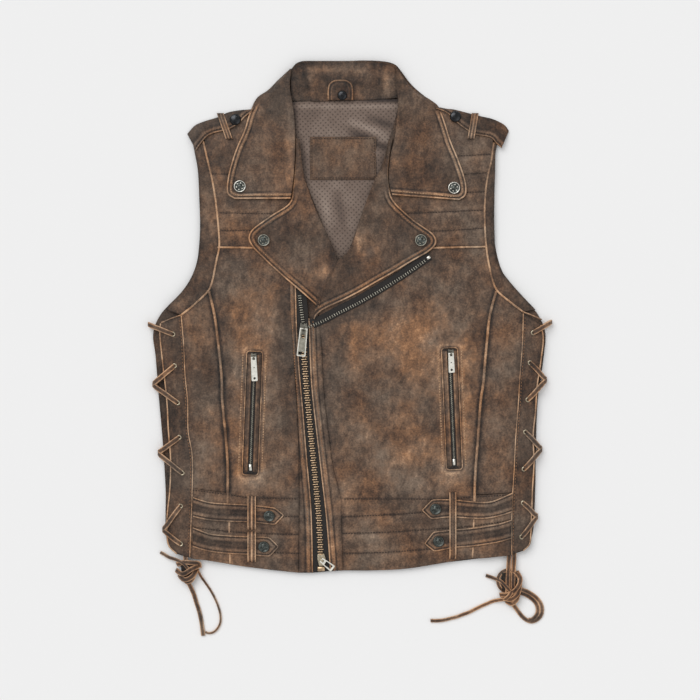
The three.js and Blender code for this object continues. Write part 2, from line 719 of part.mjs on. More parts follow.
// The pull's crossbar lies on the hinge axis and the tab points to -Y
function pullTab(width, length, hole) {
  const half = width / 2;
  const outline = new THREE.Shape();
  outline.moveTo(-half * 0.72, 0.8);
  outline.lineTo(half * 0.72, 0.8);
  outline.lineTo(half * 0.72, -4.5);
  outline.lineTo(half, -8);
  outline.lineTo(half, -length + 3);
  outline.quadraticCurveTo(half, -length, 0, -length);
  outline.quadraticCurveTo(-half, -length, -half, -length + 3);
  outline.lineTo(-half, -8);
  outline.lineTo(-half * 0.72, -4.5);
  outline.closePath();
  const slot = new THREE.Path();
  slot.moveTo(-1.5, -0.8);
  slot.lineTo(-1.5, -3.4);
  slot.lineTo(1.5, -3.4);
  slot.lineTo(1.5, -0.8);
  slot.closePath();
  outline.holes.push(slot);
  if (hole > 0) {
    outline.holes.push(new THREE.Path(polygon(hole, 10, 0, -length + 2.2 + hole)));
  }
  const plate = new THREE.ExtrudeGeometry(outline, {
    depth: PULL_THICK, bevelEnabled: false, curveSegments: 4,
  });
  plate.translate(0, 0, -PULL_THICK / 2);
  return plate;
}

const WELT_RISE = 2 * LAYER_GAP + WELT_BASE;

// Each zip's slider. Headings are in degrees from -Y, the way the zip runs and
// the way its pull lies; droop is how far the pull's tip hangs from level.
const ZIPS = [
  {
    name: 'main', x: -60, y: 316, above: -0.4, zipHeading: 1, pullHeading: -6,
    width: 10, length: 15, pullWidth: 11, pullLength: 38, pullHole: 1.9, droop: 4,
  },
  {
    name: 'bottom', x: -37, y: 16, above: -0.4, zipHeading: 5, pullHeading: 52,
    width: 9, length: 12, pullWidth: 8, pullLength: 19, pullHole: 1.2, droop: 5,
  },
  {
    name: 'pocket_left', x: -125, y: 279, above: WELT_RISE, zipHeading: -1, pullHeading: 2.5,
    width: 8, length: 11, pullWidth: 8, pullLength: 31, pullHole: 1.3, droop: 4,
  },
  {
    name: 'pocket_right', x: 131, y: 284, above: WELT_RISE, zipHeading: 2, pullHeading: 2.5,
    width: 8, length: 11, pullWidth: 8, pullLength: 25, pullHole: 1.3, droop: 4,
  },
];
function addZipSlider(zip) {
  const seat = frontTop(zip.x, zip.y) + zip.above;
  const heading = THREE.MathUtils.degToRad(zip.pullHeading);
  const bodyTurn = THREE.MathUtils.degToRad(zip.zipHeading) - heading;
  const body = sliderBody(zip.width, zip.length, SLIDER_HEIGHT, bodyTurn);
  const slider = add(`slider_${zip.name}`, body, COLOUR.brass, 1);
  slider.position.set(zip.x, zip.y, seat);
  slider.rotation.z = heading;
  const tabShape = pullTab(zip.pullWidth, zip.pullLength, zip.pullHole);
  const pull = add(`pull_${zip.name}`, tabShape, COLOUR.nickel, 1);
  pull.position.set(zip.x, zip.y, seat + SLIDER_HEIGHT + HINGE_RISE);
  pull.rotation.order = 'ZYX';
  pull.rotation.z = heading;
  pull.rotation.x = THREE.MathUtils.degToRad(zip.droop);
}

// Lacing: eyelet centres from the top down, and the points where strands turn
const EYELETS = {
  left: [[-230, 309], [-228, 268], [-224, 220], [-222, 175], [-218, 129], [-220, 86], [-220, 37]],
  right: [[238, 311], [234, 272], [231, 224], [228, 182], [226, 134], [225, 90], [223, 46]],
};
const APEX = {
  left: [[-262, 322], [-256, 244], [-249, 155], [-246, 60]],
  right: [[262, 325], [255, 250], [249, 160], [245.5, 72]],
};
const APEX_HEIGHT = 5;

function lacingStrand(front, apex, back) {
  const [fx, fy] = front;
  const [ax, ay] = apex;
  const [bx, by] = back;
  const top = frontTop(fx, fy) + LAYER_GAP + LACE_THICK / 2;
  const under = LACE_THICK / 2 + 0.3;
  const outward = Math.sign(ax);
  const near = (x, y, share) => [x + (ax - x) * share, y + (ay - y) * share];
  return strip([
    [fx, fy, top],
    [...near(fx, fy, 0.4), top + 0.8],
    [ax - outward * 4, ay + (fy - ay) * 0.15, top + 0.2],
    [ax, ay, APEX_HEIGHT],
    [ax - outward * 4, ay + (by - ay) * 0.15, under + 0.4],
    [...near(bx, by, 0.4), under],
    [bx, by, under],
  ], LACE_WIDTH, LACE_THICK, 11, 'y', 6);
}

function addLacing(side) {
  const eyes = EYELETS[side];
  const turns = APEX[side];
  add(`lacing_${side}_top`, lacingStrand(eyes[0], turns[0], eyes[0]), COLOUR.lace);
  for (let cross = 1; cross <= 3; cross += 1) {
    const upper = eyes[2 * cross - 1];
    const lower = eyes[2 * cross];
    const pair = join(
      lacingStrand(upper, turns[cross], lower),
      lacingStrand(lower, turns[cross], upper),
    );
    add(`lacing_${side}_cross_${cross}`, pair, COLOUR.lace);
  }
}

// A knot is a closed three-lobed turn of lace; its tails join it
const KNOT_SCALE = 4;
const KNOT_STRAND_RADIUS = 2.4;
const LOOSE_WIDTH = 5;          // the lace is pulled narrower below the knots

function knotTurn(x, y, stretch) {
  const points = [];
  for (let step = 0; step < 30; step += 1) {
    const angle = (2 * Math.PI * step) / 30;
    points.push(new THREE.Vector3(
      x + KNOT_SCALE * (Math.sin(angle) + 2 * Math.sin(2 * angle)),
      y + KNOT_SCALE * stretch * (Math.cos(angle) - 2 * Math.cos(2 * angle)),
      6.6 - 3.2 * Math.sin(3 * angle),
    ));
  }
  const path = new THREE.CatmullRomCurve3(points, true);
  return new THREE.ExtrudeGeometry(new THREE.Shape(polygon(KNOT_STRAND_RADIUS, 6)), {
    steps: 30, bevelEnabled: false, extrudePath: path,
  });
}

// The two lengths of lace that come down from the hem into each knot
function knotLeft() {
  const turn = knotTurn(-212, 1, 1);
  const tails = [[-215, 32, 5.9], [-214, 20, 5.9], [-213, 8, 6.2], [-212, 0, 6.4]];
  const stub = [[-214, 8, 8], [-222, 14, 6], [-234, 20, 3], [-247, 25, 1.5]];
  return join(turn, strip(tails, LACE_WIDTH, LACE_THICK, 4, 'z', 6),
    strip(stub, 4, LACE_THICK, 6, 'z', 6));
}

function knotRight() {
  const turn = knotTurn(207, -19, 1.25);
  const tail = (x) => [[x, 36, 5.9], [x, 22, 5.9], [x - 1, 4, 6.2], [x - 3, -14, 6.5]];
  const stub = [[204, -20, 9], [196, -12, 6], [186, -7, 3], [177, -5, 1.5]];
  return join(
    turn,
    strip(tail(209), LOOSE_WIDTH, LACE_THICK, 5, 'z', 6),
    strip(tail(215), LOOSE_WIDTH, LACE_THICK, 5, 'z', 6),
    strip(stub, 4.5, LACE_THICK, 5, 'z', 6),
  );
}

// Free ends and loops of lace, lying on the same surface as the vest
const LACE_FLOOR = 1.3;
const LOOSE_ENDS = {
  lace_loop_left: {
    steps: 24,
    route: [
      [-210.6, -13.5, 6.4], [-208.5, -17, 5.2], [-205.5, -23, 3], [-201, -31, LACE_FLOOR],
      [-197, -42, LACE_FLOOR], [-194, -54, LACE_FLOOR], [-192, -66, LACE_FLOOR],
      [-189, -77, LACE_FLOOR], [-184, -82, LACE_FLOOR], [-178, -80, LACE_FLOOR],
      [-173, -73, LACE_FLOOR], [-170, -63, LACE_FLOOR], [-171, -51, LACE_FLOOR],
      [-175, -39, LACE_FLOOR], [-182, -27, LACE_FLOOR], [-189, -15, 2], [-194, -6, 3.8],
      [-197.7, 1.8, 5.5],
    ],
  },
  lace_loop_right: {
    steps: 20,
    route: [
      [221.4, -13.8, 6.2], [224.4, -15.6, 5.4], [229, -20, 3.6], [236, -26, 2],
      [243, -33, LACE_FLOOR], [248, -40, LACE_FLOOR], [250, -48, LACE_FLOOR],
      [249, -56, LACE_FLOOR], [244, -62, LACE_FLOOR], [237, -65, LACE_FLOOR],
      [230, -63, LACE_FLOOR], [223, -57, LACE_FLOOR], [217, -49, 2], [212, -42, 4.4],
      [208.4, -36.5, 6.4],
    ],
  },
  lace_end_right: {
    steps: 18,
    route: [
      [201.9, -35.1, 5.9], [198, -35.9, 4.8], [192, -37, 3], [185, -39, LACE_FLOOR],
      [178, -42, LACE_FLOOR], [171, -45, LACE_FLOOR], [163, -49, LACE_FLOOR],
      [155, -53, LACE_FLOOR], [147, -56, LACE_FLOOR], [139, -59, LACE_FLOOR],
      [131, -61, LACE_FLOOR], [123, -63, LACE_FLOOR], [115, -64, LACE_FLOOR],
      [105, -64, LACE_FLOOR],
    ],
  },
};

function buildPanels() {
  add('back_panel', backPanel(), COLOUR.leather);
  add('back_lining', backLining(), COLOUR.lining);
  add('neck_patch', neckPatch(), COLOUR.leather);
  add('front_left', frontLeft(), COLOUR.leather);
  add('front_right', frontRight(), COLOUR.leather);
  add('yoke_left', yokeLeft(), COLOUR.leather);
  add('yoke_right', yokeRight(), COLOUR.leather);
  add('side_front_left', sideFrontLeft(), COLOUR.leather);
  add('side_front_right', sideFrontRight(), COLOUR.leather);
  add('eyelet_strip_left', eyeletStripLeft(), COLOUR.leather);
  add('eyelet_strip_right', eyeletStripRight(), COLOUR.leather);
  add('armhole_band_left', armholeBandLeft(), COLOUR.leather);
  add('armhole_band_right', armholeBandRight(), COLOUR.leather);
  add('hem_band_left', hemBandLeft(), COLOUR.leather);
  add('hem_band_right', hemBandRight(), COLOUR.leather);
  add('placket_left', placketLeft(), COLOUR.leather);
  add('placket_right', placketRight(), COLOUR.leather);
  add('zip_tape_main', zipTapeMain(), COLOUR.tape);
  add('zip_tape_right', zipTapeRight(), COLOUR.tape);
  add('lapel_left', lapelLeft(), COLOUR.leather);
  add('lapel_right', lapelRight(), COLOUR.leather);
  add('collar_fall', collarFall(), COLOUR.leather);
  add('collar_stand', collarStand(), COLOUR.leather);
}

function buildTrim() {
  for (const row of WELTS) add(row.name, pocketWelt(row), COLOUR.leather);
  for (const row of TABS) add(row.name, tab(row), COLOUR.leather);
  add('tab_keeper_left_upper', keeper(-133, -122, 55, 99), COLOUR.leather);
  add('tab_keeper_left_lower', keeper(-133, -122, 13, 53), COLOUR.leather);
  add('tab_keeper_right', keeper(129, 138, 17, 104), COLOUR.leather);
  add('epaulette_left', epaulette('left'), COLOUR.leather);
  add('epaulette_right', epaulette('right'), COLOUR.leather);
  add('hanger_tab', hangerTab(), COLOUR.leather);
  const studs = {
    collar_stud_left: [-143, 501], collar_stud_right: [135, 499],
    lapel_stud_left: [-112, 431], lapel_stud_right: [92, 431],
  };
  for (const [name, [x, y]] of Object.entries(studs)) {
    const seat = frontTop(x, y) + TURNED_LEVEL + LAYER_GAP;
    add(name, cap(x, y, seat), COLOUR.gunmetal, 1);
  }
  for (const zip of ZIPS) addZipSlider(zip);
}

function buildLacing() {
  for (const side of ['left', 'right']) addLacing(side);
  add('lace_knot_left', knotLeft(), COLOUR.lace);
  add('lace_knot_right', knotRight(), COLOUR.lace);
  for (const [name, { route, steps }] of Object.entries(LOOSE_ENDS)) {
    add(name, strip(route, LOOSE_WIDTH, LACE_THICK, steps), COLOUR.lace);
  }
}

buildPanels();
buildTrim();
buildLacing();
vest.position.set(-BOX_CENTRE.x, -BOX_CENTRE.y, 0);
export default vest;
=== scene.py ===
"""A men's distressed leather biker vest, laid flat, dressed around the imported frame. Metres."""
import json
import math

import bmesh
import bpy
import numpy as np
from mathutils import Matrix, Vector
from mathutils.bvhtree import BVHTree

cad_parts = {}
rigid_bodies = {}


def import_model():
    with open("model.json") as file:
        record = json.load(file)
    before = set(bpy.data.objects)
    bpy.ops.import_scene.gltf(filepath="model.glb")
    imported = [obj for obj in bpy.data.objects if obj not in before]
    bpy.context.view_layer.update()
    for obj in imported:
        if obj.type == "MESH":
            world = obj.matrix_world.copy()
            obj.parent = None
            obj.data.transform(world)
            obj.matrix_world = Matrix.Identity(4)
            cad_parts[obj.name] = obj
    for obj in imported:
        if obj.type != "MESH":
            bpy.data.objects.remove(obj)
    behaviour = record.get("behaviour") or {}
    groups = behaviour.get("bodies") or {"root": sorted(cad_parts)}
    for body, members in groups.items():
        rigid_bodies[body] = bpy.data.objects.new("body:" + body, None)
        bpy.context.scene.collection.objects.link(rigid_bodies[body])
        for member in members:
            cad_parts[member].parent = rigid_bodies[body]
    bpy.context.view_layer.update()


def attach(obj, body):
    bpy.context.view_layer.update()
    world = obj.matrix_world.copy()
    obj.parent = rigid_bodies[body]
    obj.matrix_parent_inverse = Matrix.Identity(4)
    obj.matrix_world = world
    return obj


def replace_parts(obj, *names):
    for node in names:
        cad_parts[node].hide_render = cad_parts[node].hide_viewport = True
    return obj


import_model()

# Real sizes. The tables give x and y from a drafting point on the hem, and
# HEM_Y is that point's place in the frame.
HEM_Y = -0.332
LEATHER = 0.0015
TURNED_LEATHER = 0.0019
LINING = 0.0008
TAPE = 0.0008
LAYER_GAP = 0.0003
BACK_TOP = 0.0015
FRONT_TOP = 0.0061
SIDE_RISE = 0.0026
SHOULDER_SINK = 0.0023
LACE_LIFT = 0.0029
COLLAR_LIFT = 0.0020
LACE_WIDTH = 0.0056
LACE_THICK = 0.0022
LACE_FLOOR = 0.0013
GRID = 0.0024                   # spacing of the points on a leather panel
STITCH_STEP = 0.0036
STITCH_LENGTH = 0.0026
STITCH_RADIUS = 0.00042
SEAM_SHADE = 0.0022             # how far the dark of a seam reaches
WAVE, RIPPLE, WAVE_MIDDLE = 0.0007, 0.00035, 0.0003

SIDE_Y = (0.020, 0.035, 0.057, 0.108, 0.172, 0.230, 0.280, 0.311, 0.330)
SIDE_LEFT = (-0.222, -0.238, -0.240, -0.240, -0.244, -0.249, -0.253, -0.257, -0.253)
SIDE_RIGHT = (0.222, 0.237, 0.238, 0.241, 0.242, 0.245, 0.252, 0.255, 0.252)

# Seam lines from the hem up: x, y
FRONT_EDGE_LEFT = (
    (-0.226, 0.024), (-0.236, 0.034), (-0.239, 0.055), (-0.238, 0.078), (-0.235, 0.107),
    (-0.234, 0.146), (-0.237, 0.185), (-0.239, 0.224), (-0.244, 0.269), (-0.248, 0.312),
    (-0.247, 0.323),
)
FRONT_EDGE_RIGHT = (
    (0.226, 0.028), (0.234, 0.036), (0.236, 0.052), (0.237, 0.078), (0.238, 0.107),
    (0.240, 0.142), (0.239, 0.180), (0.242, 0.209), (0.244, 0.240), (0.249, 0.275),
    (0.252, 0.305), (0.249, 0.321),
)
SIDE_SEAM_LEFT = (
    (-0.208, 0.019), (-0.207, 0.047), (-0.206, 0.070), (-0.205, 0.099), (-0.205, 0.153),
    (-0.210, 0.182), (-0.211, 0.224), (-0.214, 0.254), (-0.216, 0.296), (-0.219, 0.333),
)
SIDE_SEAM_RIGHT = (
    (0.210, 0.023), (0.210, 0.070), (0.211, 0.099), (0.213, 0.130), (0.215, 0.172),
    (0.219, 0.224), (0.220, 0.244), (0.224, 0.299), (0.225, 0.336),
)
PRINCESS_LEFT = (
    (-0.159, 0.103), (-0.159, 0.140), (-0.162, 0.182), (-0.166, 0.224), (-0.167, 0.254),
    (-0.171, 0.295), (-0.176, 0.333), (-0.183, 0.365),
)
PRINCESS_RIGHT = (
    (0.162, 0.100), (0.163, 0.130), (0.167, 0.182), (0.170, 0.224), (0.173, 0.244),
    (0.177, 0.290), (0.182, 0.335), (0.190, 0.365),
)
ARM_SEAM_LEFT = (
    (-0.219, 0.334), (-0.203, 0.347), (-0.184, 0.366), (-0.179, 0.378), (-0.174, 0.403),
    (-0.170, 0.422), (-0.170, 0.434), (-0.173, 0.469), (-0.178, 0.504), (-0.185, 0.535),
    (-0.191, 0.560),
)
ARM_SEAM_RIGHT = (
    (0.225, 0.338), (0.206, 0.3525), (0.191, 0.366), (0.186, 0.377), (0.180, 0.403),
    (0.177, 0.424), (0.176, 0.436), (0.175, 0.473), (0.178, 0.509), (0.183, 0.531),
    (0.187, 0.558),
)
ARMHOLE_LEFT = (
    (-0.240, 0.341), (-0.218, 0.365), (-0.206, 0.384), (-0.199, 0.404), (-0.196, 0.428),
    (-0.195, 0.451), (-0.196, 0.484), (-0.198, 0.523), (-0.202, 0.545), (-0.205, 0.560),
)
ARMHOLE_RIGHT = (
    (0.241, 0.341), (0.222, 0.361), (0.208, 0.377), (0.197, 0.392), (0.190, 0.408),
    (0.1885, 0.426), (0.1875, 0.455), (0.187, 0.491), (0.1885, 0.519), (0.1895, 0.547),
    (0.193, 0.560),
)
BAND_TOP_LEFT = (
    (-0.205, 0.109), (-0.160, 0.103), (-0.135, 0.099), (-0.100, 0.098), (-0.066, 0.097),
)
BAND_TOP_RIGHT = (
    (0.211, 0.103), (0.162, 0.0995), (0.120, 0.097), (0.070, 0.097), (0.030, 0.097),
    (-0.012, 0.097),
)
HEM_LEFT = (
    (-0.207, 0.018), (-0.177, 0.014), (-0.144, 0.008), (-0.105, 0.003), (-0.067, -0.001),
)
HEM_RIGHT = (
    (0.2095, 0.022), (0.172, 0.018), (0.153, 0.017), (0.111, 0.010), (0.070, 0.004),
    (0.029, 0.002), (-0.009, 0.002),
)
YOKE_Y = 0.421
ZIP_EDGE_LEFT = (
    (-0.048, -0.001), (-0.050, 0.079), (-0.056, 0.151), (-0.061, 0.213), (-0.066, 0.270),
    (-0.069, 0.322), (-0.070, 0.362),
)
ZIP_EDGE_RIGHT = (
    (-0.026, 0.001), (-0.031, 0.068), (-0.038, 0.130), (-0.044, 0.182), (-0.050, 0.237),
    (-0.052, 0.270), (-0.053, 0.300), (-0.054, 0.330),
)
PLACKET_LEFT_EDGE = (
    (-0.067, -0.001), (-0.066, 0.097), (-0.067, 0.172), (-0.072, 0.270), (-0.079, 0.345),
    (-0.080, 0.362),
)
PLACKET_RIGHT_EDGE = (
    (-0.009, 0.002), (-0.0105, 0.050), (-0.012, 0.097), (-0.016, 0.113), (-0.021, 0.132),
    (-0.028, 0.182), (-0.034, 0.237), (-0.037, 0.296), (-0.041, 0.328),
)
ZIP_DIAGONAL = (
    (-0.0500, 0.3215), (-0.0342, 0.3285), (-0.0143, 0.3392), (0.0069, 0.3498), (0.0281, 0.3617),
    (0.0493, 0.3743), (0.0706, 0.3880), (0.0878, 0.3999), (0.1040, 0.4110),
)
LAPEL_ROLL_LEFT = (
    (-0.0400, 0.3450), (-0.0315, 0.376), (-0.017, 0.404), (-0.026, 0.430), (-0.038, 0.456),
    (-0.052, 0.491), (-0.060, 0.517), (-0.064, 0.545), (-0.065, 0.562),
)
LAPEL_EDGE_LEFT = (
    (-0.0412, 0.3440), (-0.0600, 0.3608), (-0.086, 0.383), (-0.112, 0.407), (-0.128, 0.424),
    (-0.132, 0.434), (-0.129, 0.443), (-0.103, 0.463), (-0.078, 0.4805), (-0.074, 0.498),
    (-0.0715, 0.526), (-0.0705, 0.552), (-0.071, 0.564),
)
LAPEL_ROLL_RIGHT = (
    (-0.0475, 0.3290), (-0.0440, 0.3470), (-0.0330, 0.3760), (-0.0165, 0.4040), (-0.001, 0.419),
    (0.018, 0.473), (0.032, 0.509), (0.042, 0.527), (0.047, 0.545), (0.050, 0.562),
)
LAPEL_EDGE_RIGHT = (
    (-0.0460, 0.3285), (-0.0435, 0.3337), (-0.0356, 0.3403), (-0.0249, 0.3456),
    (-0.0090, 0.3529), (0.0149, 0.3652), (0.0348, 0.3768), (0.0547, 0.3880), (0.0812, 0.4040),
    (0.1040, 0.4175), (0.1120, 0.4270), (0.1100, 0.4370), (0.081, 0.459), (0.055, 0.485),
    (0.051, 0.500), (0.0495, 0.518), (0.0515, 0.540), (0.056, 0.564),
)
COLLAR_ROLL_LEFT = (
    (-0.077, 0.4845), (-0.0745, 0.500), (-0.072, 0.526), (-0.071, 0.552), (-0.072, 0.587),
    (-0.075, 0.610), (-0.078, 0.632), (-0.076, 0.652),
)
COLLAR_EDGE_LEFT = (
    (-0.150, 0.4845), (-0.159, 0.491), (-0.159, 0.510), (-0.149, 0.547), (-0.138, 0.573),
    (-0.130, 0.599), (-0.121, 0.617), (-0.107, 0.627), (-0.093, 0.641), (-0.078, 0.655),
)
COLLAR_ROLL_RIGHT = (
    (0.055, 0.4895), (0.0515, 0.500), (0.0505, 0.518), (0.0525, 0.540), (0.058, 0.564),
    (0.061, 0.589), (0.062, 0.615), (0.060, 0.632), (0.059, 0.652),
)
COLLAR_EDGE_RIGHT = (
    (0.142, 0.483), (0.150, 0.489), (0.151, 0.503), (0.142, 0.533), (0.131, 0.560),
    (0.123, 0.586), (0.115, 0.606), (0.104, 0.615), (0.089, 0.624), (0.078, 0.635),
    (0.062, 0.655),
)

# Stitched rows that quilt the yokes and hem bands
YOKE_ROWS_LEFT = (
    ((-0.180, 0.5175), (-0.150, 0.5170)),
    ((-0.173, 0.4670), (-0.095, 0.4655)),
    ((-0.171, 0.4440), (-0.115, 0.4435)),
)
YOKE_ROWS_RIGHT = (
    ((0.125, 0.5400), (0.183, 0.5430)),
    ((0.130, 0.5155), (0.178, 0.5190)),
    ((0.130, 0.4920), (0.176, 0.4945)),
    ((0.060, 0.4655), (0.120, 0.4680), (0.175, 0.4705)),
    ((0.090, 0.4425), (0.130, 0.4440), (0.176, 0.4470)),
)
HEM_ROWS_LEFT = (
    ((-0.206, 0.0810), (-0.150, 0.0750), (-0.100, 0.0725), (-0.067, 0.0720)),
    ((-0.207, 0.0590), (-0.150, 0.0520), (-0.100, 0.0495), (-0.067, 0.0490)),
    ((-0.207, 0.0370), (-0.150, 0.0290), (-0.100, 0.0255), (-0.067, 0.0240)),
)
HEM_ROWS_RIGHT = (
    ((-0.011, 0.0720), (0.050, 0.0745), (0.112, 0.0790), (0.160, 0.0830), (0.211, 0.0900)),
    ((-0.010, 0.0500), (0.050, 0.0520), (0.112, 0.0560), (0.160, 0.0600), (0.211, 0.0680)),
    ((-0.009, 0.0240), (0.050, 0.0260), (0.112, 0.0310), (0.160, 0.0370), (0.211, 0.0460)),
)

# Creases of the laid-out leather: ends, how far the middle bows to the left of
# the line, half width, and height. A negative height is a trough.
CREASES = (
    ((-0.088, 0.395), (-0.100, 0.205), 0.006, 0.0080, -0.0011),
    ((-0.103, 0.380), (-0.112, 0.250), -0.004, 0.0070, 0.0009),
    ((-0.078, 0.300), (-0.084, 0.120), 0.003, 0.0060, -0.0007),
    ((-0.150, 0.395), (-0.158, 0.300), -0.005, 0.0090, 0.0008),
    ((-0.146, 0.250), (-0.150, 0.130), 0.004, 0.0090, 0.0007),
    ((-0.188, 0.330), (-0.186, 0.190), -0.004, 0.0080, 0.0010),
    ((-0.196, 0.250), (-0.192, 0.120), 0.003, 0.0070, -0.0007),
    ((0.010, 0.330), (0.095, 0.255), 0.010, 0.0110, 0.0010),
    ((-0.005, 0.300), (0.070, 0.225), 0.007, 0.0100, -0.0009),
    ((0.075, 0.400), (0.090, 0.330), -0.005, 0.0070, 0.0009),
    ((0.093, 0.395), (0.112, 0.330), 0.005, 0.0060, -0.0007),
    ((0.150, 0.400), (0.135, 0.310), 0.006, 0.0090, 0.0009),
    ((0.160, 0.280), (0.156, 0.150), -0.004, 0.0070, -0.0007),
    ((0.197, 0.340), (0.193, 0.160), 0.004, 0.0075, 0.0011),
    ((0.210, 0.300), (0.205, 0.190), -0.003, 0.0055, -0.0008),
    ((0.015, 0.190), (0.105, 0.150), -0.008, 0.0120, 0.0008),
    ((0.030, 0.130), (0.120, 0.120), 0.006, 0.0100, -0.0006),
    ((-0.140, 0.120), (-0.080, 0.110), 0.003, 0.0070, -0.0006),
    ((0.050, 0.060), (0.062, 0.008), 0.003, 0.0060, 0.0008),
    ((0.085, 0.045), (0.090, 0.006), -0.002, 0.0060, -0.0008),
    ((0.020, 0.055), (0.018, 0.005), 0.002, 0.0060, -0.0006),
    ((-0.100, 0.040), (-0.090, 0.004), 0.002, 0.0060, 0.0006),
    ((-0.112, 0.600), (-0.100, 0.520), 0.008, 0.0120, 0.0010),
    ((-0.135, 0.560), (-0.120, 0.500), -0.006, 0.0100, -0.0008),
    ((0.085, 0.610), (0.095, 0.520), -0.008, 0.0120, 0.0010),
    ((0.066, 0.570), (0.072, 0.500), 0.004, 0.0070, 0.0010),
    ((-0.060, 0.470), (-0.095, 0.430), 0.006, 0.0080, 0.0008),
    ((-0.040, 0.440), (-0.060, 0.390), -0.005, 0.0070, -0.0009),
    ((0.010, 0.445), (0.030, 0.400), 0.010, 0.0050, 0.0011),
    ((0.025, 0.470), (0.065, 0.440), 0.006, 0.0060, 0.0009),
    ((0.005, 0.420), (0.040, 0.440), -0.008, 0.0060, -0.0009),
)

# Hardware that keeps its height: x, y and how far round it the leather is level
LEVEL_SPOTS = (
    (-0.060, 0.316, 0.026), (-0.060, 0.290, 0.026), (-0.037, 0.016, 0.020), (-0.026, 0.006, 0.020),
    (-0.125, 0.270, 0.024), (0.131, 0.275, 0.024), (-0.143, 0.501, 0.016), (0.135, 0.499, 0.016),
    (-0.112, 0.431, 0.016), (0.092, 0.431, 0.016), (-0.105, 0.073, 0.014), (-0.112, 0.033, 0.014),
    (0.111, 0.082, 0.014), (0.115, 0.040, 0.014), (-0.149, 0.588, 0.020), (0.137, 0.592, 0.020),
)


# Numbers
def smooth(low, high, value):
    share = np.clip((value - low) / (high - low), 0.0, 1.0)
    return share * share * (3 - 2 * share)


def bell(value, middle, half_width):
    """A smooth bump of height 1 round a value."""
    return np.exp(-(((value - middle) / half_width) ** 2))


def arch(share, power=0.6):
    """A height that is 0 at both ends of a stretch and 1 in its middle."""
    return np.sin(math.pi * share) ** power


def unit(vectors):
    return vectors / np.maximum(np.linalg.norm(vectors, axis=-1, keepdims=True), 1e-9)


def curve(points, count):
    """count + 1 points evenly spaced along a centripetal Catmull-Rom curve."""
    given = np.array([(*p, 0.0) if len(p) == 2 else p for p in points], float)
    first = 2 * given[0] - given[1]
    last = 2 * given[-1] - given[-2]
    padded = np.vstack([first, given, last])
    fine = []
    share = np.linspace(0, 1, 24, endpoint=False)[:, None]
    for p0, p1, p2, p3 in zip(padded, padded[1:], padded[2:], padded[3:]):
        d0 = max(np.linalg.norm(p1 - p0) ** 0.5, 1e-6)
        d1 = max(np.linalg.norm(p2 - p1) ** 0.5, 1e-6)
        d2 = max(np.linalg.norm(p3 - p2) ** 0.5, 1e-6)
        m1 = ((p1 - p0) / d0 - (p2 - p0) / (d0 + d1) + (p2 - p1) / d1) * d1
        m2 = ((p2 - p1) / d1 - (p3 - p1) / (d1 + d2) + (p3 - p2) / d2) * d1
        a = 2 * p1 - 2 * p2 + m1 + m2
        b = -3 * p1 + 3 * p2 - 2 * m1 - m2
        fine.append(((a * share + b) * share + m1) * share + p1)
    fine = np.vstack([*fine, given[-1:]])
    steps = np.linalg.norm(np.diff(fine, axis=0), axis=1)
    length = np.concatenate([[0], np.cumsum(steps)])
    wanted = np.linspace(0, length[-1], count + 1)
    return np.column_stack([np.interp(wanted, length, fine[:, k]) for k in range(3)])


def length_of(line):
    return float(np.linalg.norm(np.diff(line, axis=0), axis=1).sum())


def along_line(x, y, line):
    """Each point's distance to a line of points, and its share of the way along."""
    line = np.asarray(line, float)[:, :2]
    lengths = np.linalg.norm(np.diff(line, axis=0), axis=1)
    before = np.concatenate([[0], np.cumsum(lengths)])
    best = np.full(np.shape(x), 1e9)
    share = np.zeros(np.shape(x))
    for index, (a, b) in enumerate(zip(line, line[1:])):
        step = b - a
        t = np.clip(((x - a[0]) * step[0] + (y - a[1]) * step[1]) / max(step @ step, 1e-12), 0, 1)
        distance = np.hypot(x - a[0] - t * step[0], y - a[1] - t * step[1])
        nearer = distance < best
        best = np.where(nearer, distance, best)
        share = np.where(nearer, (before[index] + t * lengths[index]) / before[-1], share)
    return best, share


class Bumps:
    """Smooth random heights from -1 to 1, the same on every run."""

    def __init__(self, seed, spacing):
        self.spacing = spacing
        self.values = np.random.RandomState(seed).uniform(-1, 1, (80, 80))

    def __call__(self, x, y):
        u = (np.asarray(x) + 0.5) / self.spacing
        v = (np.asarray(y) + 0.5) / self.spacing
        i = np.floor(u).astype(int)
        j = np.floor(v).astype(int)
        a = smooth(0, 1, u - i)
        b = smooth(0, 1, v - j)
        value = self.values
        low = value[i % 80, j % 80] * (1 - a) + value[(i + 1) % 80, j % 80] * a
        high = value[i % 80, (j + 1) % 80] * (1 - a) + value[(i + 1) % 80, (j + 1) % 80] * a
        return low * (1 - b) + high * b


BROAD = Bumps(3, 0.070)
MIDDLE = Bumps(7, 0.028)
SMALL = Bumps(11, 0.011)


# Heights of the laid-out vest
def near_side(x, y, reach):
    left = np.interp(y, SIDE_Y, SIDE_LEFT)
    right = np.interp(y, SIDE_Y, SIDE_RIGHT)
    inside = np.abs(np.where(x < 0, left, right)) - np.abs(x)
    return (1 - smooth(reach * 0.55, reach, inside)) * (1 - smooth(0.330, 0.400, y))


def shoulder_y(x):
    return np.where(x < 0, 0.626 + 0.29 * x, 0.625 - 0.27 * x)


def back_top(x, y):
    neck = smooth(0.555, 0.600, y) * (1 - smooth(0.112, 0.128, np.abs(x + 0.005)))
    return BACK_TOP + LACE_LIFT * near_side(x, y, 0.062) + COLLAR_LIFT * neck


def crease_line(start, end, bow):
    start, end = np.array(start), np.array(end)
    across = np.array([start[1] - end[1], end[0] - start[0]])
    middle = (start + end) / 2 + across / np.linalg.norm(across) * bow
    return curve([tuple(start), tuple(middle), tuple(end)], 8)


CREASE_LINES = [(crease_line(a, b, bow), width, height) for a, b, bow, width, height in CREASES]


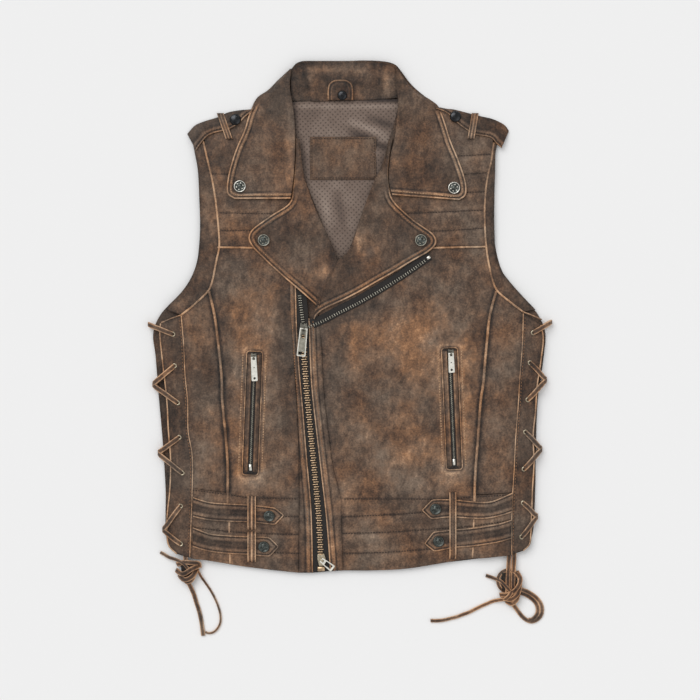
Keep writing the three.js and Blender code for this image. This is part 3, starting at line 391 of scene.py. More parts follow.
def soft_relief(x, y):
    """Broad waves and the creases, which lift what lies on the fronts with them."""
    height = WAVE * BROAD(x, y) + RIPPLE * MIDDLE(x, y) + WAVE_MIDDLE
    for line, width, rise in CREASE_LINES:
        distance, share = along_line(x, y, line)
        height = height + rise * arch(share, 0.7) * bell(distance, 0, width)
    for spot_x, spot_y, reach in LEVEL_SPOTS:
        height = height * smooth(reach * 0.35, reach * 1.5, np.hypot(x - spot_x, y - spot_y))
    return height


def front_top(x, y):
    shoulder = smooth(-0.034, -0.004, y - shoulder_y(x))
    sunk = FRONT_TOP + SIDE_RISE * near_side(x, y, 0.075) - SHOULDER_SINK * shoulder
    return np.maximum(sunk, back_top(x, y) + LAYER_GAP + LEATHER + 0.0002)


def outer_face(x, y):
    """The outer face of the fronts, with its waves and creases."""
    return front_top(x, y) + soft_relief(x, y)


def on_front(above=0.0):
    return lambda x, y, along, across: outer_face(x, y) + above


# Meshes
def new_piece(name, verts, faces, material, body="vest", wear_and_shading=None):
    """A smooth mesh that rides on a body; its point attribute holds scuffing and painted shade."""
    verts = np.asarray(verts, float).copy()
    verts[:, 1] += HEM_Y
    mesh = bpy.data.meshes.new(name)
    mesh.from_pydata(verts.tolist(), [], faces)
    mesh.update()
    if wear_and_shading is not None:
        attribute = mesh.attributes.new("wear_and_shading", "FLOAT", "POINT")
        attribute.data.foreach_set("value", np.asarray(wear_and_shading, np.float32))
    mesh.polygons.foreach_set("use_smooth", [True] * len(mesh.polygons))
    mesh.materials.append(material)
    piece = bpy.data.objects.new(name, mesh)
    bpy.context.scene.collection.objects.link(piece)
    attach(piece, body)
    return piece


PLAIN_STEPS = (0.0, 0.0002, 0.0006, 0.0012)
TURNED_STEPS = (
    0.0, 0.0002, 0.0005, 0.0009, 0.0014, 0.0019, 0.0025, 0.0031, 0.0037, 0.0043, 0.0049,
    0.0055, 0.0061, 0.0067, 0.0074, 0.0081, 0.0088, 0.0098,
)


def offsets(width, start_turned, end_turned):
    """Places across a stretch: fine at its two ends, even between them."""
    low = np.array(TURNED_STEPS if start_turned else PLAIN_STEPS)
    high = np.array(TURNED_STEPS if end_turned else PLAIN_STEPS)
    inner = max(2, int(round((width - low[-1] - high[-1]) / GRID)))
    return low, high, inner


def spread(width, low, high, inner):
    """The same places for any width, squeezed where the piece is narrow."""
    width = np.asarray(width, float)[:, None]
    squeeze = np.minimum(1.0, 0.9 * width / (low[-1] + high[-1]))
    start = low[None, :] * squeeze
    end = width - high[None, ::-1] * squeeze
    share = np.linspace(0, 1, inner + 1)[None, 1:-1]
    middle = start[:, -1:] * (1 - share) + end[:, :1] * share
    return np.hstack([start, middle, end])


# Turned edges, from the edge inwards: place, half width, rise and tone of each
# ridge and groove of their profile: scuffing on ridges, painted shade in grooves
TURNED_PROFILES = {
    "collar": ((0.0010, 0.0012, 0.00050, 1.20), (0.0030, 0.0007, -0.00045, -0.55),
               (0.0056, 0.0018, 0.00035, 0.80), (0.0084, 0.0009, -0.00035, -0.70)),
    "lapel": ((0.0010, 0.0012, 0.00050, 1.20), (0.0030, 0.0008, -0.00045, -0.60),
              (0.0056, 0.0017, 0.00035, 0.62), (0.0084, 0.0010, -0.00035, -0.55)),
    "tab": ((0.0005, 0.0009, 0.00035, 1.05), (0.0026, 0.0006, -0.00035, -0.45),
            (0.0050, 0.0020, 0.00020, 0.42), (0.0090, 0.0018, -0.00010, -0.40),
            (0.0125, 0.0022, 0.00000, -0.20)),
    "band": ((0.0004, 0.0009, 0.00040, 0.95), (0.0023, 0.0008, -0.00030, -0.10),
             (0.0045, 0.0009, 0.00030, 0.80)),
    "loop": ((0.0008, 0.0011, 0.00050, 0.95), (0.0030, 0.0009, -0.00030, -0.35),
             (0.0052, 0.0010, 0.00020, 0.35)),
    "keeper": ((0.0005, 0.0010, 0.00040, 1.15), (0.0026, 0.0009, -0.00035, 0.05),
               (0.0036, 0.0004, -0.00025, -0.60), (0.0052, 0.0009, 0.00035, 0.95)),
    "placket": ((0.0006, 0.0009, 0.00040, 1.00), (0.0026, 0.0007, -0.00040, -0.40),
                (0.0058, 0.0020, 0.00035, 0.50), (0.0092, 0.0008, -0.00045, -0.80)),
}


def turned_edge(distance, style):
    """Rise and tone of a turned and stitched edge at each distance from it: scuffing on its ridges, painted
    shade in its grooves.
    """
    rise = np.zeros(np.shape(distance))
    wear_and_shading = np.zeros(np.shape(distance))
    for place, half_width, height, worn_and_shaded in TURNED_PROFILES[style]:
        shape = np.exp(-(np.abs((distance - place) / half_width) ** 2.5))
        rise = rise + height * shape
        wear_and_shading = wear_and_shading + worn_and_shaded * shape
    return rise, wear_and_shading


SHELLS = {}


def shell_grid(edge_a, edge_b, turned):
    """A shell's points between its edge lines, finest beside the edges that are turned."""
    reach = max(length_of(curve(edge_a, 60)), length_of(curve(edge_b, 60)))
    ends = offsets(reach, "start" in turned, "end" in turned)
    along = spread([reach], *ends)[0] / reach
    fine_a = curve(edge_a, 600)
    fine_b = curve(edge_b, 600)
    share = np.linspace(0, 1, 601)
    line_a = np.column_stack([np.interp(along, share, fine_a[:, k]) for k in range(2)])
    line_b = np.column_stack([np.interp(along, share, fine_b[:, k]) for k in range(2)])
    widths = np.linalg.norm(line_b - line_a, axis=1)
    sides = offsets(widths.max(), "a" in turned, "b" in turned)
    across = spread(widths, *sides) / np.maximum(widths[:, None], 1e-6)
    x = line_a[:, :1] + (line_b[:, :1] - line_a[:, :1]) * across
    y = line_a[:, 1:] + (line_b[:, 1:] - line_a[:, 1:]) * across
    along = np.repeat(along[:, None], x.shape[1], axis=1)
    outlines = {
        "a": fine_a[::10, :2], "b": fine_b[::10, :2],
        "start": [line_a[0], line_b[0]], "end": [line_a[-1], line_b[-1]],
    }
    to_edges = {edge: along_line(x, y, outline)[0] for edge, outline in outlines.items()}
    return x, y, along, across, to_edges, reach, float(widths.max())


def sewn_rows(x, y, rows):
    """The rise of leather that stitched rows pull down, with painted shade along each row and a painted
    highlight beside it.
    """
    rise = np.zeros(x.shape)
    wear_and_shading = np.zeros(x.shape)
    for row in rows:
        distance, _ = along_line(x, y, curve(row, 20))
        rise += 0.00030 * bell(distance, 0.008, 0.005) - 0.00050 * bell(distance, 0, 0.0014)
        wear_and_shading += 0.14 * bell(distance, 0.0040, 0.0022) - 0.30 * bell(distance, 0, 0.0010)
    return rise, wear_and_shading


def rounded_drop(distance, roll):
    """How far a rounded rim falls away, by the distance from the edge."""
    return roll - np.sqrt(np.maximum(roll ** 2 - (roll - np.minimum(distance, roll)) ** 2, 0))


def stack(x, y, *levels):
    """The points of a grid at one level after another."""
    return np.vstack([np.column_stack([x.ravel(), y.ravel(), z.ravel()]) for z in levels])


def shell(name, edge_a, edge_b, height, material, thick=LEATHER, turned="", rows_near=(),
          painted_seam_shade=0.5, base_wear=0.0, extra_wear_and_shading=None, node=None,
          under=None, style="collar", turned_below=None):
    """A thin closed shell between two edge lines, which it takes from hem to top.

    turned names the edges that are turned and stitched: a, b, start or end.
    rows_near are stitched rows that pull the leather down along them.
    """
    turned = turned.split()
    x, y, along, across, to_edges, reach, widest = shell_grid(edge_a, edge_b, turned)
    z = height(x, y, along, across)
    wear_and_shading = base_wear + 0.10 * BROAD(x + 0.3, y) + 0.10 * MIDDLE(x, y + 0.2)
    if turned:
        outer = np.minimum.reduce([to_edges[edge] for edge in turned])
        rise, worn_and_shaded = turned_edge(outer, style)
        share = 1.0
        if turned_below is not None:
            share = 1 - smooth(turned_below - 0.008, turned_below + 0.008, y)
        uneven = 1 + 0.28 * SMALL(x + 0.1, y) + 0.16 * MIDDLE(x, y + 0.4)
        z = z + rise * share
        wear_and_shading = wear_and_shading + worn_and_shaded * share * uneven
    # Painted shade beside the seams that are not turned.
    seams = [distance for edge, distance in to_edges.items() if edge not in turned]
    if seams:
        wear_and_shading = wear_and_shading - painted_seam_shade * np.exp(-np.minimum.reduce(seams) / SEAM_SHADE)
    rise, worn_and_shaded = sewn_rows(x, y, rows_near)
    z = z + rise
    wear_and_shading = wear_and_shading + worn_and_shaded
    if extra_wear_and_shading is not None:
        wear_and_shading = wear_and_shading + extra_wear_and_shading(x, y)
    drop = rounded_drop(np.minimum.reduce(list(to_edges.values())), 0.46 * thick)
    underside = z - thick + drop if under is None else under(x, y)
    verts = stack(x, y, z - drop, underside)
    faces = shell_faces(x, y)
    piece = new_piece(f"{name}_shell", verts, faces, material,
                      wear_and_shading=np.concatenate([wear_and_shading.ravel(), wear_and_shading.ravel() - 0.1]))
    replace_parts(piece, node or name)
    SHELLS[name] = (verts, faces)


def shell_faces(x, y):
    """Quads of the top, the underside and the rim of a grid, all facing out."""
    rows, columns = x.shape
    under = rows * columns
    index = np.arange(under).reshape(rows, columns)
    a, b = index[:-1, :-1].ravel(), index[:-1, 1:].ravel()
    c, d = index[1:, 1:].ravel(), index[1:, :-1].ravel()
    middle_row, middle = rows // 2, columns // 2
    ax = x[middle_row, middle + 1] - x[middle_row, middle]
    ay = y[middle_row, middle + 1] - y[middle_row, middle]
    bx = x[middle_row + 1, middle] - x[middle_row, middle]
    by = y[middle_row + 1, middle] - y[middle_row, middle]
    rim = np.concatenate([index[0, :], index[1:, -1], index[-1, -2::-1], index[-2:0:-1, 0]])
    following = np.roll(rim, -1)
    top = np.column_stack([a, b, c, d])
    low = np.column_stack([a, d, c, b]) + under
    side = np.column_stack([rim, rim + under, following + under, following])
    faces = np.vstack([top, low, side])
    if ax * by - ay * bx < 0:
        faces = faces[:, ::-1]
    return faces.tolist()


# Materials
def node_of(tree, kind, **inputs):
    node = tree.nodes.new(kind)
    for key, value in inputs.items():
        setattr(node, key, value)
    return node


def noise(tree, place, scale, detail=4.0, roughness=0.5):
    node = node_of(tree, "ShaderNodeTexNoise")
    node.inputs["Scale"].default_value = scale
    node.inputs["Detail"].default_value = detail
    node.inputs["Roughness"].default_value = roughness
    tree.links.new(place, node.inputs["Vector"])
    return node.outputs["Fac"]


def stretched(tree, place, scale):
    node = node_of(tree, "ShaderNodeMapping")
    node.inputs["Scale"].default_value = scale
    tree.links.new(place, node.inputs["Vector"])
    return node.outputs["Vector"]


def maths(tree, operation, first, second=None, third=None):
    node = node_of(tree, "ShaderNodeMath", operation=operation)
    for socket, value in zip(node.inputs, (first, second, third)):
        if value is None:
            continue
        if isinstance(value, (int, float)):
            socket.default_value = value
        else:
            tree.links.new(value, socket)
    return node.outputs[0]


def blend_colours(tree, factor, first, second):
    node = node_of(tree, "ShaderNodeMix", data_type="RGBA")
    tree.links.new(factor, node.inputs["Factor"])
    for socket, value in ((node.inputs["A"], first), (node.inputs["B"], second)):
        if isinstance(value, tuple):
            socket.default_value = (*value, 1.0)
        else:
            tree.links.new(value, socket)
    return node.outputs["Result"]


def ramp(tree, factor, stops):
    node = node_of(tree, "ShaderNodeValToRGB")
    elements = node.color_ramp.elements
    while len(elements) < len(stops):
        elements.new(0.5)
    for element, (place, colour) in zip(elements, stops):
        element.position = place
        element.color = (*colour, 1.0)
    tree.links.new(factor, node.inputs["Fac"])
    return node.outputs["Color"]


def clamped(tree, value):
    node = node_of(tree, "ShaderNodeClamp")
    tree.links.new(value, node.inputs["Value"])
    return node.outputs["Result"]


def swing(tree, place, scale, detail, roughness):
    """Noise about zero."""
    return maths(tree, "SUBTRACT", noise(tree, place, scale, detail, roughness), 0.5)


def wear_and_shading_of(tree):
    return node_of(tree, "ShaderNodeAttribute", attribute_name="wear_and_shading").outputs["Fac"]


def base_material(name):
    material = bpy.data.materials.new(name)
    material.use_nodes = True
    tree = material.node_tree
    shader = tree.nodes["Principled BSDF"]
    place = node_of(tree, "ShaderNodeTexCoord").outputs["Object"]
    return material, tree, shader, place


def add_bump(tree, shader, height, strength, distance):
    bump = node_of(tree, "ShaderNodeBump")
    bump.inputs["Strength"].default_value = strength
    bump.inputs["Distance"].default_value = distance
    tree.links.new(height, bump.inputs["Height"])
    tree.links.new(bump.outputs["Normal"], shader.inputs["Normal"])


LEATHER_STOPS = (
    (0.00, (0.010, 0.006, 0.004)),
    (0.22, (0.034, 0.018, 0.011)),
    (0.42, (0.100, 0.051, 0.028)),
    (0.55, (0.168, 0.085, 0.044)),
    (0.70, (0.275, 0.137, 0.066)),
    (0.86, (0.460, 0.235, 0.115)),
    (1.00, (0.620, 0.375, 0.215)),
)


LEATHER_GREYS = (
    (0.0, (0.012, 0.009, 0.007)),
    (0.4, (0.092, 0.063, 0.045)),
    (0.7, (0.215, 0.152, 0.108)),
    (1.0, (0.540, 0.370, 0.245)),
)


def leather_material(name, level=0.475, patchiness=1.0):
    """Scuffed leather, tan on its edges and folds, with painted shade in its hollows."""
    material, tree, shader, place = base_material(name)
    rub_and_shade_level = maths(tree, "MULTIPLY_ADD", wear_and_shading_of(tree), 0.42, level)
    drawn = stretched(tree, place, (150, 85, 120))
    for value, amount in (
        (swing(tree, place, 14, 3, 0.55), 0.50 * patchiness),
        (swing(tree, place, 48, 4, 0.60), 0.62 * patchiness),
        (swing(tree, drawn, 1, 4, 0.62), 0.66),
        (swing(tree, place, 430, 3, 0.70), 0.66),
    ):
        rub_and_shade_level = maths(tree, "MULTIPLY_ADD", value, amount, rub_and_shade_level)
    tone = clamped(tree, maths(tree, "MULTIPLY_ADD", noise(tree, place, 17, 4, 0.60), 3.6, -1.30))
    mixed = blend_colours(tree, tone, ramp(tree, rub_and_shade_level, LEATHER_GREYS),
                          ramp(tree, rub_and_shade_level, LEATHER_STOPS))
    tree.links.new(mixed, shader.inputs["Base Color"])
    gloss = maths(tree, "MULTIPLY_ADD", noise(tree, place, 90, 4, 0.6), 0.28, 0.40)
    tree.links.new(gloss, shader.inputs["Roughness"])
    shader.inputs["Specular IOR Level"].default_value = 0.28
    grain = noise(tree, place, 1150, 2, 0.5)
    pebble = noise(tree, place, 420, 3, 0.6)
    wrinkle = noise(tree, place, 120, 4, 0.55)
    height = maths(tree, "MULTIPLY_ADD", pebble, 1.3, grain)
    height = maths(tree, "MULTIPLY_ADD", wrinkle, 3.0, height)
    add_bump(tree, shader, height, 0.65, 0.00050)
    return material


def lining_material():
    """Grey-brown knit with staggered rows of pin dots."""
    material, tree, shader, place = base_material("lining_knit")
    parts = node_of(tree, "ShaderNodeSeparateXYZ")
    tree.links.new(place, parts.inputs[0])
    pitch = 0.0066
    lean = maths(tree, "MULTIPLY_ADD", parts.outputs[0], -0.06, parts.outputs[1])
    slant = maths(tree, "MULTIPLY_ADD", parts.outputs[1], 0.06, parts.outputs[0])
    near = None
    for shift in (0.0, 0.5):
        u = maths(tree, "PINGPONG", maths(tree, "MULTIPLY_ADD", slant, 1 / pitch, shift), 0.5)
        v = maths(tree, "PINGPONG", maths(tree, "MULTIPLY_ADD", lean, 1 / pitch, shift), 0.5)
        u2 = maths(tree, "MULTIPLY", u, u)
        distance = maths(tree, "SQRT", maths(tree, "MULTIPLY_ADD", v, v, u2))
        near = distance if near is None else maths(tree, "MINIMUM", near, distance)
    near = maths(tree, "MULTIPLY", near, 4.5)
    dot = maths(tree, "SUBTRACT", 1.0, maths(tree, "SMOOTH_MIN", near, 1.0, 0.2))
    dot = clamped(tree, dot)
    cloud = noise(tree, place, 40, 4, 0.6)
    knit = noise(tree, place, 900, 2, 0.5)
    wear_and_shading = wear_and_shading_of(tree)
    tone = maths(tree, "MULTIPLY_ADD", cloud, 0.5, 0.22)
    tone = maths(tree, "MULTIPLY_ADD", knit, 0.35, tone)
    tone = maths(tree, "MULTIPLY_ADD", wear_and_shading, 0.5, tone)
    cloth = ramp(tree, tone, (
        (0.15, (0.040, 0.028, 0.023)), (0.60, (0.158, 0.112, 0.088)), (1.0, (0.300, 0.232, 0.190)),
    ))
    colour = blend_colours(tree, dot, cloth, (0.030, 0.020, 0.018))
    tree.links.new(colour, shader.inputs["Base Color"])
    shader.inputs["Roughness"].default_value = 0.9
    shader.inputs["Sheen Weight"].default_value = 0.25
    add_bump(tree, shader, maths(tree, "MULTIPLY_ADD", dot, -1.5, knit), 0.5, 0.0003)
    return material


def tape_material():
    material, tree, shader, place = base_material("woven_tape")
    weave = noise(tree, place, 1500, 2, 0.5)
    colour = ramp(tree, weave, ((0.3, (0.006, 0.005, 0.005)), (0.8, (0.030, 0.025, 0.022))))
    tree.links.new(colour, shader.inputs["Base Color"])
    shader.inputs["Roughness"].default_value = 0.85
    add_bump(tree, shader, weave, 0.6, 0.0003)
    return material


def metal_material(name, light, dark, roughness, cloud=260, metallic=1.0):
    material, tree, shader, place = base_material(name)
    tarnish = noise(tree, place, cloud, 4, 0.65)
    colour = ramp(tree, tarnish, ((0.30, dark), (0.62, light)))
    tree.links.new(colour, shader.inputs["Base Color"])
    shader.inputs["Metallic"].default_value = metallic
    rough = maths(tree, "MULTIPLY_ADD", noise(tree, place, 500, 3, 0.6), 0.25, roughness - 0.12)
    tree.links.new(rough, shader.inputs["Roughness"])
    add_bump(tree, shader, noise(tree, place, 1800, 2, 0.5), 0.15, 0.0002)
    return material


def thread_material(name, light, dark):
    material, tree, shader, place = base_material(name)
    colour = ramp(tree, noise(tree, place, 120, 4, 0.6), ((0.35, dark), (0.65, light)))
    tree.links.new(colour, shader.inputs["Base Color"])
    shader.inputs["Roughness"].default_value = 0.75
    return material


LEATHER_SKIN = leather_material("worn_leather")
DARK_SKIN = leather_material("worn_leather_dark", level=0.40, patchiness=0.8)
DEEP_SKIN = leather_material("worn_leather_deep", level=0.33, patchiness=0.7)
PIPING_SKIN = leather_material("piping_leather", level=0.78, patchiness=0.75)
PALE_PIPING = leather_material("pale_piping", level=0.84, patchiness=0.55)
LACE_SKIN = leather_material("lace_leather", level=0.42, patchiness=0.7)
LINING_CLOTH = lining_material()
TAPE_CLOTH = tape_material()
BRASS = metal_material("antique_brass", (0.68, 0.49, 0.31), (0.28, 0.19, 0.115), 0.36)
OLD_BRASS = metal_material("old_brass", (0.60, 0.52, 0.38), (0.24, 0.20, 0.14), 0.34)
NICKEL = metal_material("aged_nickel", (0.88, 0.86, 0.78), (0.60, 0.58, 0.51), 0.30)
PALE_NICKEL = metal_material("pale_nickel", (0.86, 0.84, 0.76), (0.66, 0.64, 0.57), 0.40,
                             metallic=0.45)
SLIDER_METAL = metal_material("slider_metal", (0.26, 0.25, 0.21), (0.075, 0.07, 0.06), 0.34)
DULL_NICKEL = metal_material("dull_nickel", (0.44, 0.42, 0.35), (0.20, 0.19, 0.155), 0.40)
GUNMETAL = metal_material("gunmetal", (0.115, 0.125, 0.115), (0.035, 0.038, 0.035), 0.34)
DARK_THREAD = thread_material("dark_thread", (0.045, 0.027, 0.018), (0.018, 0.011, 0.008))
TAN_THREAD = thread_material("tan_thread", (0.420, 0.210, 0.100), (0.200, 0.095, 0.050))
PALE_THREAD = thread_material("pale_thread", (0.560, 0.360, 0.215), (0.300, 0.165, 0.090))


# Camera, light and floor
def make_stage():
    camera_data = bpy.data.cameras.new("camera")
    camera_data.lens = 85
    camera_data.sensor_width = 36
    camera = bpy.data.objects.new("camera", camera_data)
    seen_width = 0.910
    seen_middle = -0.0434
    cloth_level = 0.006
    above = seen_width * camera_data.lens / camera_data.sensor_width + cloth_level
    camera.location = (0.0, seen_middle, above)
    bpy.context.scene.collection.objects.link(camera)
    bpy.context.scene.camera = camera
    camera_data.clip_end = 50

    floor_mesh = bpy.data.meshes.new("floor")
    reach = 6.0
    corners = [(-reach, -reach, 0), (reach, -reach, 0), (reach, reach, 0), (-reach, reach, 0)]
    floor_mesh.from_pydata(corners, [], [(0, 1, 2, 3)])
    floor = bpy.data.objects.new("floor", floor_mesh)
    floor.location.z = -0.0002
    bpy.context.scene.collection.objects.link(floor)
    paper = bpy.data.materials.new("pale_floor")
    paper.use_nodes = True
    shader = paper.node_tree.nodes["Principled BSDF"]
    shader.inputs["Base Color"].default_value = (0.86, 0.86, 0.86, 1)
    shader.inputs["Roughness"].default_value = 0.9
    shader.inputs["Specular IOR Level"].default_value = 0.1
    floor_mesh.materials.append(paper)

    world = bpy.data.worlds.new("studio")
    world.use_nodes = True
    world.node_tree.nodes["Background"].inputs["Color"].default_value = (1, 1, 1, 1)
    world.node_tree.nodes["Background"].inputs["Strength"].default_value = 0.57
    bpy.context.scene.world = world
    lamps = (
        ("key", (-2.1, 2.7, 4.1), 0.80, 1.45),
        ("fill", (3.0, -1.6, 3.6), 0.90, 0.35),
    )
    for name, place, softness, power in lamps:
        data = bpy.data.lights.new(name, "SUN")
        data.angle = softness
        data.energy = power
        lamp = bpy.data.objects.new(name, data)
        lamp.location = place
        aim = Vector((0, 0, 0)) - Vector(place)
        lamp.rotation_mode = "QUATERNION"
        lamp.rotation_quaternion = aim.to_track_quat("-Z", "Y")
        bpy.context.scene.collection.objects.link(lamp)
    bpy.context.scene.view_settings.view_transform = "Standard"


make_stage()


# Lacing and cords: flat strips with a dark middle and tan cut edges
def facing_out(verts, faces):
    """The same faces, turned round if they would point into the body."""
    volume = 0.0
    for face in faces:
        first = verts[face[0]]
        for second, third in zip(face[1:], face[2:]):
            volume += first @ np.cross(verts[second], verts[third])
    return faces if volume > 0 else [face[::-1] for face in faces]


def flat_section(width, thick, sides, squareness):
    """Places round the section of a flat strip, and how scuffed its cut edges are."""
    angle = 2 * math.pi * (np.arange(sides) + 0.5) / sides
    wide = np.sign(np.cos(angle)) * np.abs(np.cos(angle)) ** squareness * width / 2
    high = np.sign(np.sin(angle)) * np.abs(np.sin(angle)) ** squareness * thick / 2
    return wide, high, 1.30 * smooth(0.50, 0.78, np.abs(wide) / (width / 2))


def swept(line, wide, high, half_wide, half_high):
    """The section's points at each point of a line."""
    return (line[:, None, :] + wide[:, None, :] * half_wide[None, :, None]
            + high[:, None, :] * half_high[None, :, None]).reshape(-1, 3)


def strip_mesh(route, width, thick, count, hint="z", sides=20, squareness=0.55):
    """Points and faces of a flat strip along a route, how scuffed each point is, and its line."""
    line = curve(route, count)
    tangent = unit(np.gradient(line, axis=0))
    if hint == "z":
        wide = np.cross(tangent, np.array([0.0, 0.0, 1.0]))
    else:
        up = np.array([0.0, 1.0, 0.0])
        wide = up - tangent * (tangent @ up)[:, None]
    wide = unit(wide)
    half_wide, half_high, edge = flat_section(width, thick, sides, squareness)
    verts = swept(line, wide, np.cross(tangent, wide), half_wide, half_high)
    worn_and_shaded = np.tile(edge - 0.10, count + 1)
    worn_and_shaded = worn_and_shaded + 0.45 * np.repeat(SMALL(line[:, 0], line[:, 1]), sides)
    index = np.arange((count + 1) * sides).reshape(count + 1, sides)
    following = np.roll(index, -1, axis=1)
    faces = np.column_stack([
        index[:-1].ravel(), index[1:].ravel(), following[1:].ravel(), following[:-1].ravel(),
    ]).tolist()
    faces.append(index[0].tolist())
    faces.append(index[-1][::-1].tolist())
    return verts, facing_out(verts, faces), worn_and_shaded, line


def join_meshes(parts):
    """One mesh from several: points, faces and, where a part gives it, scuffing and painted shade."""
    verts, faces, worn_and_shaded, start = [], [], [], 0
    for part_verts, part_faces, *part_worn in parts:
        verts.append(part_verts)
        faces.extend([[corner + start for corner in face] for face in part_faces])
        worn_and_shaded.append(part_worn[0] if part_worn else np.zeros(len(part_verts)))
        start += len(part_verts)
    return np.vstack(verts), faces, np.concatenate(worn_and_shaded)


def lace_piece(name, *parts):
    verts, faces, worn_and_shaded = join_meshes(parts)
    return new_piece(name, verts, faces, LACE_SKIN, wear_and_shading=worn_and_shaded)


EYELETS = {
    "left": (
        (-0.230, 0.309), (-0.228, 0.268), (-0.224, 0.220), (-0.222, 0.175), (-0.218, 0.129),
        (-0.220, 0.086), (-0.220, 0.037),
    ),
    "right": (
        (0.238, 0.311), (0.234, 0.272), (0.231, 0.224), (0.228, 0.182), (0.226, 0.134),
        (0.225, 0.090), (0.223, 0.046),
    ),
}
APEX = {
    "left": ((-0.262, 0.322), (-0.256, 0.244), (-0.249, 0.155), (-0.243, 0.0550)),
    "right": ((0.262, 0.325), (0.255, 0.250), (0.249, 0.160), (0.2435, 0.0725)),
}
APEX_HEIGHT = 0.005


def lacing_strand(front, apex, back):
    (fx, fy), (ax, ay), (bx, by) = front, apex, back
    top = float(front_top(fx, fy)) + LAYER_GAP + LACE_THICK / 2 + float(soft_relief(fx, fy))
    under = LACE_THICK / 2 + 0.0003
    outward = math.copysign(1, ax)
    route = (
        (fx, fy, top - 0.0016),
        (fx + (ax - fx) * 0.12, fy + (ay - fy) * 0.12, top + 0.0003),
        (fx + (ax - fx) * 0.45, fy + (ay - fy) * 0.45, top + 0.0009),
        (ax - outward * 0.004, ay + (fy - ay) * 0.15, top + 0.0002),
        (ax, ay, APEX_HEIGHT),
        (ax - outward * 0.004, ay + (by - ay) * 0.15, under + 0.0004),
        (bx + (ax - bx) * 0.4, by + (ay - by) * 0.4, under),
        (bx, by, under),
    )
    return strip_mesh(route, LACE_WIDTH * 1.14, LACE_THICK, 44, hint="y")[:3]


def make_lacing(side):
    eyes, turns = EYELETS[side], APEX[side]
    strands = {"top": [(eyes[0], turns[0], eyes[0])]}
    for cross in (1, 2, 3):
        upper, lower = eyes[2 * cross - 1], eyes[2 * cross]
        strands[f"cross_{cross}"] = [(upper, turns[cross], lower), (lower, turns[cross], upper)]
    for key, pair in strands.items():
        piece = lace_piece(f"lace_strand_{side}_{key}", *[lacing_strand(*row) for row in pair])
        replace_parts(piece, f"lacing_{side}_{key}")


def closed_strip(line, width, thick, centre, sides=20):
    """A flat strip round a closed line, its face turned up and away from the centre."""
    tangent = unit(np.roll(line, -1, axis=0) - np.roll(line, 1, axis=0))
    up = np.array([0.0, 0.0, 0.8]) + (line - np.array(centre)) * 35
    up = unit(up - tangent * np.sum(up * tangent, axis=1)[:, None])
    half_wide, half_high, edge = flat_section(width, thick, sides, 0.6)
    verts = swept(line, np.cross(tangent, up), up, half_wide, half_high)
    index = np.arange(len(line) * sides).reshape(len(line), sides)
    after = np.roll(index, -1, axis=0)
    beside = np.roll(index, -1, axis=1)
    corner = np.roll(after, -1, axis=1)
    faces = np.column_stack([index.ravel(), beside.ravel(), corner.ravel(), after.ravel()])
    return verts, facing_out(verts, faces.tolist()), np.tile(edge - 0.15, len(line))


def band(points, width, top, thick=0.0024, low=0.0024):
    """A turn of lace over a knot: a strip that climbs over it and tucks under at both ends."""
    places = curve([(x, y, 0.0) for x, y in points], 24)
    climb = arch(np.linspace(0, 1, len(places)))
    route = [(place[0], place[1], low + (top - low) * height)
             for place, height in zip(places, climb)]
    return strip_mesh(route, width, thick, 40)[:3]


def core(start, end, width, level=0.0050, thick=0.0056):
    """The laces inside a knot, under its turns, darkened with painted shade."""
    route = [(*(np.array(start) * (1 - t) + np.array(end) * t), level) for t in (0, 0.33, 0.67, 1)]
    verts, faces, worn_and_shaded, _ = strip_mesh(route, width, thick, 12)
    return verts, faces, 0 * worn_and_shaded - 0.9


def make_left_knot():
    left_tails = ((-0.215, 0.032, 0.0059), (-0.214, 0.020, 0.0059), (-0.213, 0.008, 0.0062),
                  (-0.212, -0.002, 0.0064))
    left_stub = ((-0.208, 0.002, 0.0100), (-0.216, 0.011, 0.0088), (-0.226, 0.016, 0.0056),
                 (-0.236, 0.019, 0.0034), (-0.242, 0.0225, 0.0024), (-0.247, 0.025, 0.0016))
    parts = [
        band(((-0.2250, 0.0095), (-0.2160, 0.0130), (-0.2060, 0.0125), (-0.1965, 0.0110),
              (-0.1960, 0.0060)), 0.0060, 0.0094),
        band(((-0.1952, 0.0085), (-0.2053, 0.0045), (-0.2169, -0.0020), (-0.2260, 0.0020)),
             0.0064, 0.0112),
        band(((-0.1990, 0.0040), (-0.2050, -0.0055), (-0.2150, -0.0095), (-0.2222, -0.0040)),
             0.0064, 0.0102),
        band(((-0.2010, -0.0010), (-0.2060, -0.0105), (-0.2120, -0.0128), (-0.2155, -0.0085)),
             0.0056, 0.0086),
        core((-0.2120, 0.0110), (-0.2090, -0.0080), 0.0170),
        strip_mesh(left_tails, LACE_WIDTH, LACE_THICK, 16)[:3],
        strip_mesh(left_stub, 0.0042, LACE_THICK, 24)[:3],
    ]
    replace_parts(lace_piece("knot_left", *parts), "lace_knot_left")


